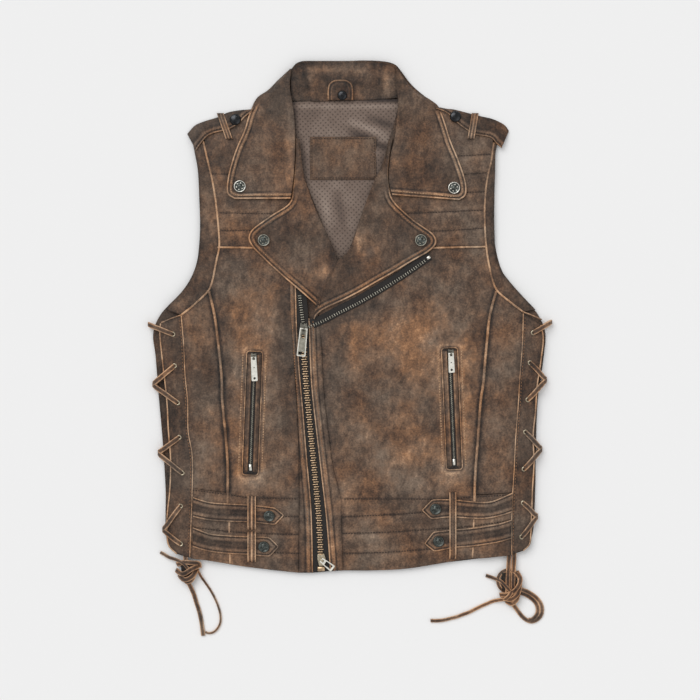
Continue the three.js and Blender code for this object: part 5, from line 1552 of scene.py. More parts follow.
# Hem tabs, keepers, epaulettes and the hanger tab
TABS = {
    "hem_tab_left_upper": (
        ((-0.2036, 0.0980), (-0.1935, 0.0945), (-0.1804, 0.0911), (-0.1572, 0.0893),
         (-0.1340, 0.0881), (-0.1108, 0.0858), (-0.0975, 0.0838), (-0.0966, 0.0834),
         (-0.0862, 0.0750)),
        ((-0.2036, 0.0723), (-0.1920, 0.0695), (-0.1804, 0.0674), (-0.1572, 0.0657),
         (-0.1340, 0.0649), (-0.1108, 0.0628), (-0.0980, 0.0616), (-0.0970, 0.0619),
         (-0.0862, 0.0730)),
    ),
    "hem_tab_left_lower": (
        ((-0.2040, 0.0590), (-0.1936, 0.0549), (-0.1804, 0.0503), (-0.1572, 0.0480),
         (-0.1340, 0.0470), (-0.1150, 0.0462), (-0.1050, 0.0454), (-0.1040, 0.0449),
         (-0.0930, 0.0342)),
        ((-0.2040, 0.0334), (-0.1936, 0.0300), (-0.1804, 0.0268), (-0.1572, 0.0238),
         (-0.1340, 0.0228), (-0.1150, 0.0209), (-0.1050, 0.0203), (-0.1040, 0.0207),
         (-0.0930, 0.0320)),
    ),
    "hem_tab_right_upper": (
        ((0.2110, 0.1037), (0.1971, 0.0977), (0.1839, 0.0925), (0.1733, 0.0913),
         (0.1573, 0.0924), (0.1295, 0.0948), (0.1070, 0.0944), (0.1060, 0.0939),
         (0.0940, 0.0816)),
        ((0.2104, 0.0782), (0.1971, 0.0738), (0.1839, 0.0708), (0.1733, 0.0694),
         (0.1573, 0.0696), (0.1295, 0.0712), (0.1060, 0.0690), (0.1050, 0.0694),
         (0.0940, 0.0794)),
    ),
    "hem_tab_right_lower": (
        ((0.2100, 0.0688), (0.1945, 0.0639), (0.1772, 0.0606), (0.1626, 0.0583),
         (0.1500, 0.0568), (0.1388, 0.0559), (0.1090, 0.0526), (0.1080, 0.0521),
         (0.0970, 0.0384)),
        ((0.2090, 0.0435), (0.1945, 0.0395), (0.1772, 0.0362), (0.1626, 0.0340),
         (0.1500, 0.0328), (0.1388, 0.0320), (0.1100, 0.0270), (0.1090, 0.0272),
         (0.0970, 0.0364)),
    ),
}
KEEPERS = {
    "tab_keeper_left_upper": (-0.133, -0.122, 0.055, 0.099),
    "tab_keeper_left_lower": (-0.133, -0.122, 0.013, 0.053),
    "tab_keeper_right": (0.129, 0.138, 0.017, 0.104),
}
KEEPER_LEATHER = 0.0013
EPAULETTE_LOWER = {
    "left": ((-0.200, 0.548), (-0.196, 0.554), (-0.186, 0.566), (-0.176, 0.571),
             (-0.159, 0.575), (-0.145, 0.583), (-0.136, 0.592), (-0.128, 0.5985)),
    "right": ((0.197, 0.551), (0.190, 0.557), (0.184, 0.564), (0.162, 0.569),
              (0.148, 0.577), (0.137, 0.586), (0.129, 0.5945), (0.120, 0.6000),
              (0.112, 0.6020)),
}
EPAULETTE_UPPER = {
    "left": ((-0.212, 0.570), (-0.202, 0.581), (-0.191, 0.586), (-0.172, 0.592),
             (-0.159, 0.598), (-0.143, 0.601), (-0.133, 0.6018), (-0.124, 0.6030)),
    "right": ((0.207, 0.574), (0.202, 0.581), (0.187, 0.589), (0.166, 0.594),
              (0.151, 0.598), (0.135, 0.602), (0.128, 0.6028), (0.120, 0.6042),
              (0.112, 0.6055)),
}
EPAULETTE_BAND = {"left": (-0.163, -0.006), "right": (0.160, 0.003)}
OVER_EDGE_TOP = 0.0026


def make_tabs():
    for name, (top, low) in TABS.items():
        shell(name, low, top, on_front(0.0027), DARK_SKIN, thick=TURNED_LEATHER,
              turned="a b end", base_wear=-0.05, painted_seam_shade=0.1, style="tab")
    for name, (left, right, low, high) in KEEPERS.items():
        def crown(x, y, along, across):
            ends = smooth(0, 0.12, along) * smooth(1, 0.88, along)
            lying = front_top(x, y) + soft_relief(x, y) + LAYER_GAP + KEEPER_LEATHER + 0.0001
            return lying + (TURNED_LEATHER + KEEPER_LEATHER + 0.0002) * ends

        shell(name, ((left, low), (left, high)), ((right, low), (right, high)), crown,
              LEATHER_SKIN, thick=KEEPER_LEATHER, turned="a b", base_wear=0.10, style="keeper")


def make_epaulettes():
    for side in ("left", "right"):
        def strap_height(x, y, along, across):
            lying = front_top(x, y) + LAYER_GAP + TURNED_LEATHER + 0.0005
            tucked = 0.0013 * smooth(0.134, 0.128, np.abs(x))
            return lying + (OVER_EDGE_TOP - lying) * smooth(0.45, 1, across) - tucked

        shell(f"epaulette_{side}", EPAULETTE_LOWER[side], EPAULETTE_UPPER[side], strap_height,
              DEEP_SKIN, thick=TURNED_LEATHER, turned="a", base_wear=0.0, painted_seam_shade=0.2,
              style="tab")
        band_x, lean = EPAULETTE_BAND[side]
        half = 0.0045

        def band_height(x, y, along, across):
            lying = front_top(x, y) + LAYER_GAP + TURNED_LEATHER + 0.0005
            return lying + (OVER_EDGE_TOP - lying) * smooth(0.5, 1, along) + 0.0011

        shell(f"epaulette_band_{side}",
              ((band_x - half - lean, 0.563), (band_x - half + lean, 0.597)),
              ((band_x + half - lean, 0.563), (band_x + half + lean, 0.597)),
              band_height, LEATHER_SKIN, thick=0.0013, turned="a b", base_wear=0.10, style="band",
              node=f"epaulette_{side}")


def make_hanger_tab():
    left = ((-0.029, 0.613), (-0.029, 0.626), (-0.027, 0.634), (-0.021, 0.6385), (-0.013, 0.6395))
    right = ((0.004, 0.613), (0.004, 0.626), (0.002, 0.634), (-0.004, 0.6385), (-0.0115, 0.6395))
    shell("hanger_tab", left, right, lambda x, y, along, across: 0.0104 + 0 * x, DEEP_SKIN,
          turned="a b end", base_wear=0.05, painted_seam_shade=0.1, style="loop")


# Sewing: thread lies on the shells it goes through
def surface(*names):
    verts, faces, start = [], [], 0
    for name in names:
        shell_verts, polygons = SHELLS[name]
        verts.extend(map(tuple, shell_verts))
        faces.extend(tuple(corner + start for corner in face) for face in polygons)
        start += len(shell_verts)
    return BVHTree.FromPolygons(verts, faces)


def height_on(tree, x, y, from_below=False):
    start, way = (-0.01, 1) if from_below else (0.06, -1)
    hit = tree.ray_cast(Vector((x, y, start)), Vector((0, 0, way)))
    return None if hit[0] is None else hit[0].z


def capsule():
    """A stitch one unit long and one unit thick, along X."""
    rings = [(-0.5, 0.0), (-0.44, 0.30), (-0.25, 0.5), (0.25, 0.5), (0.44, 0.30), (0.5, 0.0)]
    sides = 6
    verts = [(rings[0][0], 0, 0)]
    for place, radius in rings[1:-1]:
        for side in range(sides):
            angle = 2 * math.pi * side / sides
            verts.append((place, radius * math.cos(angle), radius * math.sin(angle)))
    verts.append((rings[-1][0], 0, 0))
    faces = []
    last = len(verts) - 1
    for side in range(sides):
        after = (side + 1) % sides
        faces.append((0, 1 + after, 1 + side))
        for ring in range(len(rings) - 3):
            low = 1 + ring * sides
            faces.append((low + side, low + after, low + sides + after, low + sides + side))
        low = 1 + (len(rings) - 3) * sides
        faces.append((low + side, low + after, last))
    verts = np.array(verts, float)
    return verts, [list(face) for face in facing_out(verts, faces)]


def place_copies(template, faces, centres, alongs, ups, sizes):
    """Copies of a small mesh: its X lies along, its Z points up."""
    centres, alongs, ups = (np.asarray(values, float) for values in (centres, alongs, ups))
    alongs = alongs / np.linalg.norm(alongs, axis=1)[:, None]
    ups = ups - alongs * np.sum(ups * alongs, axis=1)[:, None]
    ups = ups / np.linalg.norm(ups, axis=1)[:, None]
    acrosses = np.cross(ups, alongs)
    scaled = template[None, :, :] * np.asarray(sizes, float)[:, None, :]
    verts = (
        centres[:, None, :] + scaled[:, :, :1] * alongs[:, None, :]
        + scaled[:, :, 1:2] * acrosses[:, None, :] + scaled[:, :, 2:] * ups[:, None, :]
    ).reshape(-1, 3)
    count = len(template)
    all_faces = []
    for copy in range(len(centres)):
        all_faces.extend([[corner + copy * count for corner in face] for face in faces])
    return verts, all_faces


STITCH_MESH = capsule()


def sew(name, lines, shells, material, step=STITCH_STEP, length=STITCH_LENGTH,
        radius=STITCH_RADIUS, sink=0.00012, from_below=False):
    """Rows of stitches on the named shells, left out where a row runs past them."""
    tree = surface(*shells)
    centres, alongs = [], []
    for line in lines:
        reach = length_of(curve(line, 200))
        count = max(2, int(round(reach / step)))
        places = curve(line, count)
        for start, end in zip(places, places[1:]):
            z0 = height_on(tree, start[0], start[1], from_below)
            z1 = height_on(tree, end[0], end[1], from_below)
            if z0 is None or z1 is None or abs(z0 - z1) > 0.0015:
                continue
            middle = (start + end) / 2
            lift = -(radius - sink) if from_below else radius - sink
            centres.append((middle[0], middle[1], (z0 + z1) / 2 + lift))
            alongs.append((end[0] - start[0], end[1] - start[1], z1 - z0))
    size = (length, 2 * radius, 2 * radius)
    verts, faces = place_copies(*STITCH_MESH, centres, alongs, [(0, 0, 1)] * len(centres),
                                [size] * len(centres))
    return new_piece(name, verts, faces, material)


def inset(line, distance, count=60):
    """A line moved to its left by a distance, or to its right if negative."""
    points = curve(line, count)[:, :2]
    tangent = np.gradient(points, axis=0)
    tangent /= np.linalg.norm(tangent, axis=1)[:, None]
    moved = points + np.column_stack([-tangent[:, 1], tangent[:, 0]]) * distance
    kept = [moved[0]]
    for point, way in zip(moved[1:], tangent[1:]):
        if (point - kept[-1]) @ way > 0.0004:
            kept.append(point)
    return [tuple(point) for point in kept]


def piping(name, line, width=0.0026, rise=0.0018, lift=0.0001, fade=0.0, base=0.10,
           skin=PIPING_SKIN):
    """A rolled strip of leather that stands up along a seam."""
    places = curve(line, max(12, int(length_of(curve(line, 100)) / 0.003)))
    x, y = places[:, 0], places[:, 1]
    z = front_top(x, y) + soft_relief(x, y) + lift
    route = np.column_stack([x, y, z])
    verts, faces, _, _ = strip_mesh(route, width, rise, len(route) - 1, sides=10, squareness=0.9)
    worn_and_shaded = base + 0.35 * SMALL(verts[:, 0], verts[:, 1]) + 0.25 * MIDDLE(verts[:, 1], verts[:, 0])
    ends = np.minimum(verts[:, 1] - y.min(), y.max() - verts[:, 1])
    worn_and_shaded = worn_and_shaded - fade * np.exp(-np.maximum(ends, 0) / 0.01)
    return new_piece(name, verts, faces, skin, wear_and_shading=worn_and_shaded)


def make_piping():
    piping("piping_princess_left", ((-0.159, 0.087), *PRINCESS_LEFT), 0.0034, 0.0026, base=-0.30,
           skin=PALE_PIPING)
    piping("piping_princess_right", ((0.162, 0.086), *PRINCESS_RIGHT), 0.0034, 0.0026, base=-0.30,
           skin=PALE_PIPING)
    piping("piping_side_left", [(x + 0.0012, y) for x, y in FRONT_EDGE_LEFT], 0.0018, 0.0014, 0.0002,
           base=0.20, skin=PALE_PIPING)
    piping("piping_side_right", [(x - 0.0012, y) for x, y in FRONT_EDGE_RIGHT], 0.0018, 0.0014,
           0.0002, base=0.20, skin=PALE_PIPING)
    piping("piping_armhole_left", ARM_SEAM_LEFT, 0.0026)
    piping("piping_armhole_right", ARM_SEAM_RIGHT, 0.0026)
    for side, (x, y), reach in (("left", ARM_SEAM_LEFT[0], -0.026),
                                ("right", ARM_SEAM_RIGHT[0], 0.024)):
        piping(f"piping_arm_end_{side}", ((x, y), (x + reach * 0.5, y - 0.0045),
                                          (x + reach, y - 0.0100)), 0.0018, 0.0014, base=-0.1)
    piping("piping_yoke_left", ((-0.172, YOKE_Y + 0.001), (-0.145, YOKE_Y + 0.0008),
                                (-0.110, YOKE_Y)), 0.0026)
    piping("piping_yoke_right", ((0.090, YOKE_Y), (0.112, YOKE_Y + 0.0005),
                                 (0.145, YOKE_Y + 0.0012), (0.178, YOKE_Y + 0.002)), 0.0026)
    piping("piping_strip_left", SIDE_SEAM_LEFT, 0.0015, 0.0012, base=0.15)
    piping("piping_strip_right", SIDE_SEAM_RIGHT, 0.0015, 0.0012, base=0.15)
    piping("piping_hem_princess_left_middle", ((-0.157, 0.066), (-0.157, 0.051)), 0.0024, 0.0014)
    piping("piping_hem_princess_left_low", ((-0.156, 0.027), (-0.156, 0.011)), 0.0020, 0.0012)
    piping("piping_hem_princess_right_middle", ((0.161, 0.069), (0.1605, 0.056)), 0.0024, 0.0014)
    piping("piping_hem_princess_right_low", ((0.160, 0.032), (0.159, 0.018)), 0.0024, 0.0014)


def edge_rows(edge, distances, side):
    return [inset(edge, side * distance) for distance in distances]


def make_stitches():
    band_top_left = [(x, y - 0.002) for x, y in BAND_TOP_LEFT]
    band_top_right = [(x, y - 0.002) for x, y in BAND_TOP_RIGHT]
    for side, rows in (("left", [*HEM_ROWS_LEFT, band_top_left]),
                       ("right", [*HEM_ROWS_RIGHT, band_top_right])):
        sew(f"stitches_hem_{side}", rows, [f"hem_band_{side}"], DARK_THREAD, step=0.0036,
            length=0.0023, radius=0.00058)
    sew("stitches_yoke_left", YOKE_ROWS_LEFT, ["yoke_left"], DARK_THREAD)
    sew("stitches_yoke_right", YOKE_ROWS_RIGHT, ["yoke_right"], DARK_THREAD)
    collar_left = ((-0.0785, 0.4848), (-0.110, 0.4843), *COLLAR_EDGE_LEFT)
    collar_right = ((0.057, 0.4893), (0.100, 0.4855), *COLLAR_EDGE_RIGHT)
    collar_left = [(x, y) for x, y in collar_left if y < 0.605]
    collar_right = [(x, y) for x, y in collar_right if y < 0.600]
    lapel_left = [(x, y) for x, y in LAPEL_EDGE_LEFT if y < 0.482]
    lapel_right = [(x, y) for x, y in LAPEL_EDGE_RIGHT if y < 0.487]
    for name, line, side, shell_name, thread in (
        ("collar_left", collar_left, -1, "collar_leaf_left", PALE_THREAD),
        ("collar_right", collar_right, 1, "collar_leaf_right", PALE_THREAD),
        ("lapel_left", lapel_left, -1, "lapel_left", TAN_THREAD),
        ("lapel_right", lapel_right, 1, "lapel_right", TAN_THREAD),
    ):
        sew(f"stitches_{name}", edge_rows(line, [0.0056], side), [shell_name], thread,
            radius=0.00050)
    for side in ("left", "right"):
        lines = [pocket_line(side, sign * (POCKET_HALF_WIDTH + 0.0046), 0.004)
                 for sign in (-1, 1)]
        sew(f"stitches_pocket_{side}", lines, [f"front_{side}"], PALE_THREAD, step=0.0034,
            length=0.0024, radius=0.00080)
    sew("stitches_placket_left",
        edge_rows(ZIP_EDGE_LEFT, [0.0058], 1), ["placket_left"], TAN_THREAD, radius=0.00050)
    sew("stitches_placket_right",
        edge_rows(ZIP_EDGE_RIGHT, [0.0058], -1), ["placket_right"], TAN_THREAD, radius=0.00050)
    for name, (top, low) in TABS.items():
        side = 1 if "left" in name else -1
        rows = [inset(top, -0.0027 * side), inset(low, 0.0027 * side)]
        sew(f"stitches_{name}", rows, [name], DARK_THREAD)
    for name, (left, right, low, high) in KEEPERS.items():
        rows = [((x, low + 0.001), (x, high - 0.001)) for x in (left + 0.0022, right - 0.0022)]
        sew(f"stitches_{name}", rows, [name], DARK_THREAD, radius=0.00032)
    for side, sign in (("left", 1), ("right", -1)):
        sew(f"stitches_epaulette_{side}", [inset(EPAULETTE_LOWER[side], 0.0034 * sign)],
            [f"epaulette_{side}"], DARK_THREAD)
    sew("stitches_neck_patch", [
        ((-0.0495, 0.5125), (0.0315, 0.5125)), ((-0.0495, 0.5635), (0.0315, 0.5635)),
        ((-0.0495, 0.5125), (-0.0495, 0.5635)), ((0.0315, 0.5125), (0.0315, 0.5635)),
    ], ["neck_patch"], DARK_THREAD)
    sew("stitches_strip_left", [inset(SIDE_SEAM_LEFT, 0.0024)], ["eyelet_strip_left"],
        TAN_THREAD, step=0.0042, radius=0.00034)
    sew("stitches_strip_right", [inset(SIDE_SEAM_RIGHT, -0.0024)], ["eyelet_strip_right"],
        TAN_THREAD, step=0.0042, radius=0.00034)


# Zips
def bevelled_block(length, width, height, bevel):
    """A small box with rounded edges, along X, its base at the origin."""
    mesh = bmesh.new()
    bmesh.ops.create_cube(mesh, size=1.0)
    for vert in mesh.verts:
        vert.co = (vert.co.x * length, vert.co.y * width, vert.co.z * height)
    bmesh.ops.bevel(mesh, geom=list(mesh.edges), offset=bevel, segments=1, profile=0.5,
                    affect="EDGES")
    verts = np.array([tuple(vert.co) for vert in mesh.verts])
    faces = [[vert.index for vert in face.verts] for face in mesh.faces]
    mesh.free()
    return verts, facing_out(verts, faces)


def teeth(name, line, sides, pitch, length, width, height, reach, lift, material=BRASS):
    """Zip teeth along a line. sides are 1 for its left, -1 for its right."""
    block = bevelled_block(length, width, height, width * 0.22)
    head = bevelled_block(length * 0.30, width * 1.25, height * 1.18, width * 0.22)
    parts = []
    total = length_of(curve(line, 200))
    count = int(total / pitch)
    fine = curve(line, count * 2)
    for side in sides:
        first = 0 if side > 0 else 1
        places = fine[first::2][:count]
        tangents = np.gradient(fine, axis=0)[first::2][:count]
        across = np.column_stack([-tangents[:, 1], tangents[:, 0], 0 * tangents[:, 0]])
        across /= np.linalg.norm(across, axis=1)[:, None]
        base = places.copy()
        base[:, 2] = front_top(base[:, 0], base[:, 1]) + soft_relief(base[:, 0], base[:, 1]) + lift
        ups = [(0, 0, 1)] * len(base)
        for shape, offset in ((block, reach), (head, reach - length * 0.42)):
            centres = base + across * side * offset
            verts, faces = place_copies(*shape, centres, across * side, ups,
                                        [(1, 1, 1)] * len(base))
            parts.append((verts, faces, np.zeros(len(verts))))
    verts, faces, _ = join_meshes(parts)
    return new_piece(name, verts, faces, material)


def make_zips():
    def middle(y):
        left = np.interp(y, [p[1] for p in ZIP_EDGE_LEFT], [p[0] for p in ZIP_EDGE_LEFT])
        right = np.interp(y, [p[1] for p in ZIP_EDGE_RIGHT], [p[0] for p in ZIP_EDGE_RIGHT])
        return (left + right) / 2

    closed = tuple((float(middle(y)), y) for y in np.linspace(0.020, 0.314, 12))
    teeth("zip_teeth_main", closed, (1, -1), 0.0062, 0.0064, 0.0015, 0.0015, 0.0009, 0.0003)
    open_left = ((-0.0610, 0.322), (-0.0625, 0.334), (-0.0645, 0.348), (-0.0660, 0.362))
    teeth("zip_teeth_left", open_left, (1,), 0.0029, 0.0042, 0.0011, 0.0014, 0.0, 0.0003,
          DULL_NICKEL)
    open_right = ((-0.0530, 0.3187), (-0.0488, 0.3204), (-0.0342, 0.3268), (-0.0143, 0.3370),
                  (0.0069, 0.3476), (0.0281, 0.3595), (0.0493, 0.3721), (0.0706, 0.3858),
                  (0.0878, 0.3977), (0.0995, 0.4062))
    teeth("zip_teeth_right", open_right, (1,), 0.0033, 0.0034, 0.0013, 0.0014, 0.0, 0.0018,
          DULL_NICKEL)
    stop = bevelled_block(0.0052, 0.0040, 0.0024, 0.0006)
    verts, faces = place_copies(*stop, [(0.1020, 0.4085, float(front_top(0.1020, 0.4085)) + 0.0026)],
                                [(1, 0.6, 0)], [(0, 0, 1)], [(1, 1, 1)])
    new_piece("zip_stop_right", verts, faces, NICKEL)
    box = bevelled_block(0.0095, 0.0060, 0.0026, 0.0006)
    verts, faces = place_copies(*box, [(-0.0375, 0.0042, float(front_top(-0.0375, 0.0042)) + 0.0008)],
                                [(1, 0.05, 0)], [(0, 0, 1)], [(1, 1, 1)])
    new_piece("zip_box_main", verts, faces, BRASS)
    for side in ("left", "right"):
        line = pocket_line(side, 0.0, 0.0075)[::-1]
        teeth(f"zip_teeth_pocket_{side}", line, (1, -1), 0.0026, 0.0016, 0.0010, 0.0010, 0.0004,
              0.0012, DULL_NICKEL)
        x, y = POCKETS[side]["stop"]
        stop = bevelled_block(0.0034, 0.0085, 0.0016, 0.0005)
        verts, faces = place_copies(*stop, [(x, y, float(front_top(x, y)) + 0.0021)],
                                    [(1, 0.03, 0)], [(0, 0, 1)], [(1, 1, 1)])
        new_piece(f"zip_stop_pocket_{side}", verts, faces, NICKEL)


# Sliders and their pull tabs
SLIDERS = {
    "main": {"place": (-0.060, 0.316), "above": -0.0004, "zip": 1, "heading": -6, "droop": 4,
             "slider": (0.010, 0.015), "pull": (0.0116, 0.036), "body": "main_pull",
             "holes": ((-0.0300, -0.0336, 0.0036),), "slot": 0.0120, "straight": True},
    "bottom": {"place": (-0.037, 0.016), "above": -0.0004, "zip": 5, "heading": 52, "droop": 5,
               "slider": (0.0105, 0.0155), "pull": (0.0095, 0.019), "body": "bottom_pull",
               "holes": ((-0.0062, -0.0165, 0.0026),), "slot": 0.0034, "straight": False},
    "pocket_left": {"place": (-0.125, 0.279), "above": 0.0012, "zip": -1, "heading": 2.5,
                    "droop": 4, "slider": (0.008, 0.011), "pull": (0.008, 0.031),
                    "body": "pocket_pull_left", "slot": 0.0034, "straight": True,
                    "holes": ((-0.0258, -0.0288, 0.0015), (-0.0125, -0.0139, 0.0007))},
    "pocket_right": {"place": (0.131, 0.284), "above": 0.0012, "zip": 2, "heading": 2.5,
                     "droop": 4, "slider": (0.008, 0.011), "pull": (0.008, 0.025),
                     "body": "pocket_pull_right", "slot": 0.0034, "straight": True,
                     "holes": ((-0.0198, -0.0228, 0.0015), (-0.0110, -0.0124, 0.0007))},
}
SLIDER_HEIGHT = 0.0028
HINGE_RISE = 0.0014
PULL_THICK = 0.0012


def plate(outlines, thick, bevel):
    """A flat plate with rounded edges; the outlines after the first are holes."""
    data = bpy.data.curves.new("plate", "CURVE")
    data.dimensions = "2D"
    data.fill_mode = "BOTH"
    data.extrude = thick / 2 - bevel
    data.bevel_depth = bevel
    data.bevel_resolution = 2
    data.offset = -bevel
    for outline in outlines:
        spline = data.splines.new("POLY")
        spline.points.add(len(outline) - 1)
        for point, (x, y) in zip(spline.points, outline):
            point.co = (x, y, 0, 1)
        spline.use_cyclic_u = True
    holder = bpy.data.objects.new("plate", data)
    mesh = bpy.data.meshes.new_from_object(holder)
    verts = np.array([tuple(vert.co) for vert in mesh.vertices])
    faces = [list(face.vertices) for face in mesh.polygons]
    bpy.data.objects.remove(holder)
    bpy.data.curves.remove(data)
    bpy.data.meshes.remove(mesh)
    return verts, faces


def rounded_box(high, low, half, corner):
    """An outline between two heights, with rounded corners."""
    outline = []
    for quarter, (sign, height) in enumerate(((1, high), (-1, high), (-1, low), (1, low))):
        for angle in np.linspace(0, math.pi / 2, 5) + quarter * math.pi / 2:
            centre_y = height - corner if height == high else height + corner
            outline.append((sign * (half - corner) + corner * math.cos(angle),
                            centre_y + corner * math.sin(angle)))
    return outline


def pull_outline(half, length, straight, shrink=0.0):
    neck = half * (0.86 if straight else 0.66) - shrink
    half = half - shrink
    corner = 0.0016
    end = -length + shrink
    tip = [(half - corner + corner * math.cos(a), end + corner + corner * math.sin(a))
           for a in np.linspace(0, -math.pi / 2, 6)]
    right = [(neck, 0.0008 - shrink), *tip]
    return [*right, *[(-x, y) for x, y in right[::-1]]]


def turned(verts, heading, droop=0.0):
    heading, droop = math.radians(heading), math.radians(droop)
    tilt = np.array([[1, 0, 0], [0, math.cos(droop), -math.sin(droop)],
                     [0, math.sin(droop), math.cos(droop)]])
    turn = np.array([[math.cos(heading), -math.sin(heading), 0],
                     [math.sin(heading), math.cos(heading), 0], [0, 0, 1]])
    return verts @ (turn @ tilt).T


def slider_parts(width, length, zip_turn):
    half = width / 2
    body_outline = [(-half * 0.7, -length / 2), (half * 0.7, -length / 2), (half, length * 0.1),
                    (half * 0.8, length / 2), (half * 0.25, length * 0.42),
                    (-half * 0.25, length * 0.42), (-half * 0.8, length / 2),
                    (-half, length * 0.1)]
    parts = []
    for low, high, grow in ((0.0, 0.0009, 1.0), (0.0007, 0.0021, 0.86), (0.0019, 0.0028, 1.0)):
        outline = [(x * grow, y * (0.5 + grow / 2)) for x, y in body_outline]
        verts, faces = plate([outline], high - low, 0.0002)
        verts[:, 2] += (low + high) / 2
        parts.append((turned(verts, zip_turn), faces, np.zeros(len(verts))))
    outer, inner = 0.0027, 0.0015
    arch = [(outer * math.cos(a), outer * math.sin(a)) for a in np.linspace(math.pi, 0, 15)]
    arch = [(-outer, -0.0019), *arch, (outer, -0.0019), (inner, -0.0019)]
    arch += [(inner * math.cos(a), inner * math.sin(a)) for a in np.linspace(0, math.pi, 13)]
    arch += [(-inner, -0.0019)]
    verts, faces = plate([arch], 0.0018, 0.0003)
    upright = np.column_stack([verts[:, 2], verts[:, 0], verts[:, 1]])
    upright[:, 2] += SLIDER_HEIGHT + HINGE_RISE
    parts.append((upright, faces, np.zeros(len(verts))))
    return parts


def make_slider(key, row):
    x, y = row["place"]
    seat = float(front_top(x, y)) + row["above"]
    width, length = row["slider"]
    verts, faces, _ = join_meshes(slider_parts(width, length, row["zip"] - row["heading"]))
    verts = turned(verts, row["heading"]) + np.array([x, y, seat])
    metal = OLD_BRASS if key == "bottom" else SLIDER_METAL
    slider = new_piece(f"zip_slider_{key}", verts, faces, metal)
    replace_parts(slider, f"slider_{key}")

    width, length = row["pull"]
    half, straight = width / 2, row["straight"]
    slot = rounded_box(-0.0008, -row["slot"], 0.0021 if key == "main" else 0.0015, 0.0006)
    holes = [rounded_box(high, low, half_hole, min(half_hole, (high - low) / 2) * 0.98)
             if half_hole < 0.002 else rounded_box(high, low, half_hole, 0.0006)
             for high, low, half_hole in row["holes"]]
    hinge = np.array([x, y, seat + SLIDER_HEIGHT + HINGE_RISE])
    verts, faces = plate([pull_outline(half, length, straight), slot, *holes], PULL_THICK * 0.8,
                         0.0002)
    pull = new_piece(f"zip_pull_{key}", turned(verts, row["heading"], row["droop"]) + hinge,
                     faces, DULL_NICKEL if key == "main" else PALE_NICKEL, body=row["body"])
    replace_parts(pull, f"pull_{key}")
    rim = 0.0013
    inner = pull_outline(half, length, straight, rim)
    verts, faces = plate([pull_outline(half, length, straight), inner], PULL_THICK * 1.25, 0.0003)
    new_piece(f"zip_pull_rim_{key}", turned(verts, row["heading"], row["droop"]) + hinge, faces,
              PALE_NICKEL, body=row["body"])


# Press studs
def lathe(profile, steps=36):
    profile = [(max(radius, 0.0), height) for radius, height in profile]
    angles = 2 * math.pi * np.arange(steps) / steps
    verts, rings = [], []
    for radius, height in profile:
        if radius == 0:
            rings.append([len(verts)] * steps)
            verts.append((0, 0, height))
            continue
        rings.append(list(range(len(verts), len(verts) + steps)))
        verts.extend((radius * math.cos(a), radius * math.sin(a), height) for a in angles)
    faces = []
    for low, high in zip(rings, rings[1:]):
        for step in range(steps):
            after = (step + 1) % steps
            corners = [low[step], low[after], high[after], high[step]]
            faces.append(list(dict.fromkeys(corners)))
    verts = np.array(verts)
    return verts, facing_out(verts, faces)


ROSETTE_CAP = (
    (0.0, 0.0), (0.0076, 0.0), (0.0079, 0.0006), (0.0078, 0.0014), (0.0073, 0.0021),
    (0.0066, 0.0024), (0.0060, 0.0022), (0.0056, 0.0017), (0.0050, 0.0016), (0.0030, 0.0018),
    (0.0027, 0.0023), (0.0018, 0.0027), (0.0, 0.0028),
)
DOME_CAP = (
    (0.0, 0.0), (0.0070, 0.0), (0.0074, 0.0007), (0.0071, 0.0016), (0.0058, 0.0026),
    (0.0036, 0.0032), (0.0, 0.0035),
)
BLACK_DOME = metal_material("black_dome", (0.050, 0.052, 0.055), (0.018, 0.018, 0.020), 0.22)


def rosette():
    """The raised metal of a cap: its rim, a centre bead and a ring of beads."""
    ring = [(0.00705 + 0.0006 * math.cos(angle), 0.0021 + 0.0005 * math.sin(angle))
            for angle in np.linspace(0, 2 * math.pi, 9)]
    verts, faces = lathe(ring)
    parts = [(verts, faces, np.zeros(len(verts)))]
    bead, bead_faces = lathe(((0.0, 0.0), (0.00110, 0.0), (0.00095, 0.0006), (0.0, 0.0010)), 12)
    centre, centre_faces = lathe(((0.0, 0.0), (0.0016, 0.0), (0.0013, 0.0007), (0.0, 0.0010)), 16)
    parts.append((centre + np.array([0, 0, 0.0018]), centre_faces, np.zeros(len(centre))))
    for step in range(6):
        angle = 2 * math.pi * (step + 0.25) / 6
        place = np.array([0.0043 * math.cos(angle), 0.0043 * math.sin(angle), 0.0014])
        parts.append((bead + place, bead_faces, np.zeros(len(bead))))
    return join_meshes(parts)


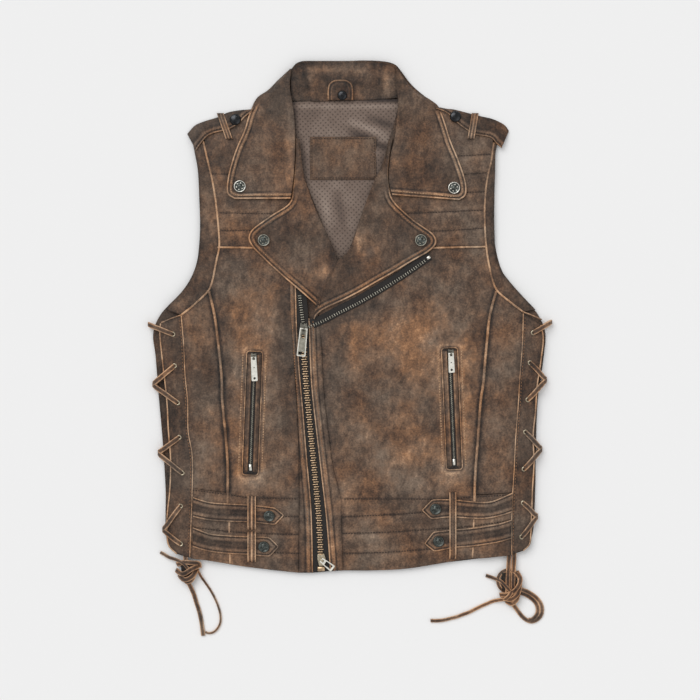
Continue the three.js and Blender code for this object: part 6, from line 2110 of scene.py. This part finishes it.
def make_studs():
    verts, faces = lathe(ROSETTE_CAP)
    beads, bead_faces, _ = rosette()
    studs = {
        "collar_stud_left": (-0.143, 0.501, 0.0033, "collar_stud_left"),
        "collar_stud_right": (0.135, 0.499, 0.0033, "collar_stud_right"),
        "lapel_stud_left": (-0.112, 0.431, 0.0033, "lapel_stud_left"),
        "lapel_stud_right": (0.092, 0.431, 0.0033, "lapel_stud_right"),
        "tab_stud_left_upper": (-0.105, 0.073, 0.0026, None),
        "tab_stud_left_lower": (-0.112, 0.033, 0.0026, None),
        "tab_stud_right_upper": (0.111, 0.082, 0.0026, None),
        "tab_stud_right_lower": (0.115, 0.040, 0.0026, None),
    }
    for name, (x, y, above, node) in studs.items():
        seat = float(front_top(x, y)) + above
        size = 1.0 if node else 0.92
        place = np.array([x, y, seat])
        stud = new_piece(f"{name}_cap", verts * size + place, faces, GUNMETAL)
        new_piece(f"{name}_rosette", beads * size + place, bead_faces,
                  NICKEL if name.startswith("collar") else DULL_NICKEL if node else GUNMETAL)
        if node:
            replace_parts(stud, node)
    verts, faces = lathe(DOME_CAP)
    domes = {"left": (-0.149, 0.588), "right": (0.137, 0.592)}
    for side, (x, y) in domes.items():
        tree = surface(f"epaulette_{side}")
        seat = height_on(tree, x, y) - 0.0006
        new_piece(f"epaulette_stud_{side}", verts + np.array([x, y, seat]), faces, BLACK_DOME)
    new_piece("hanger_stud", verts * 0.85 + np.array([-0.010, 0.619, 0.0100]), faces, BLACK_DOME)


def make_eyelets():
    ring = []
    for step in range(13):
        angle = 2 * math.pi * step / 12
        ring.append((0.0025 + 0.0009 * math.cos(angle), 0.0007 * math.sin(angle)))
    for side, eyes in EYELETS.items():
        parts = []
        steps = 24
        for x, y in eyes:
            for level in (float(front_top(x, y) + soft_relief(x, y)) + 0.0003,
                          float(back_top(x, y)) - LEATHER - 0.0001):
                verts, faces = lathe(ring, steps)
                parts.append((verts + np.array([x, y, level]), faces, np.zeros(len(verts))))
        verts, faces, _ = join_meshes(parts)
        new_piece(f"eyelets_{side}", verts, faces, OLD_BRASS)


make_back()
make_neck()
make_panels()
make_tapes()
make_leaves()
for pocket_side in ("left", "right"):
    make_pocket(pocket_side)
make_tabs()
make_epaulettes()
make_hanger_tab()
make_piping()
make_zips()
for slider_key, slider_row in SLIDERS.items():
    make_slider(slider_key, slider_row)
make_studs()
make_eyelets()
make_stitches()
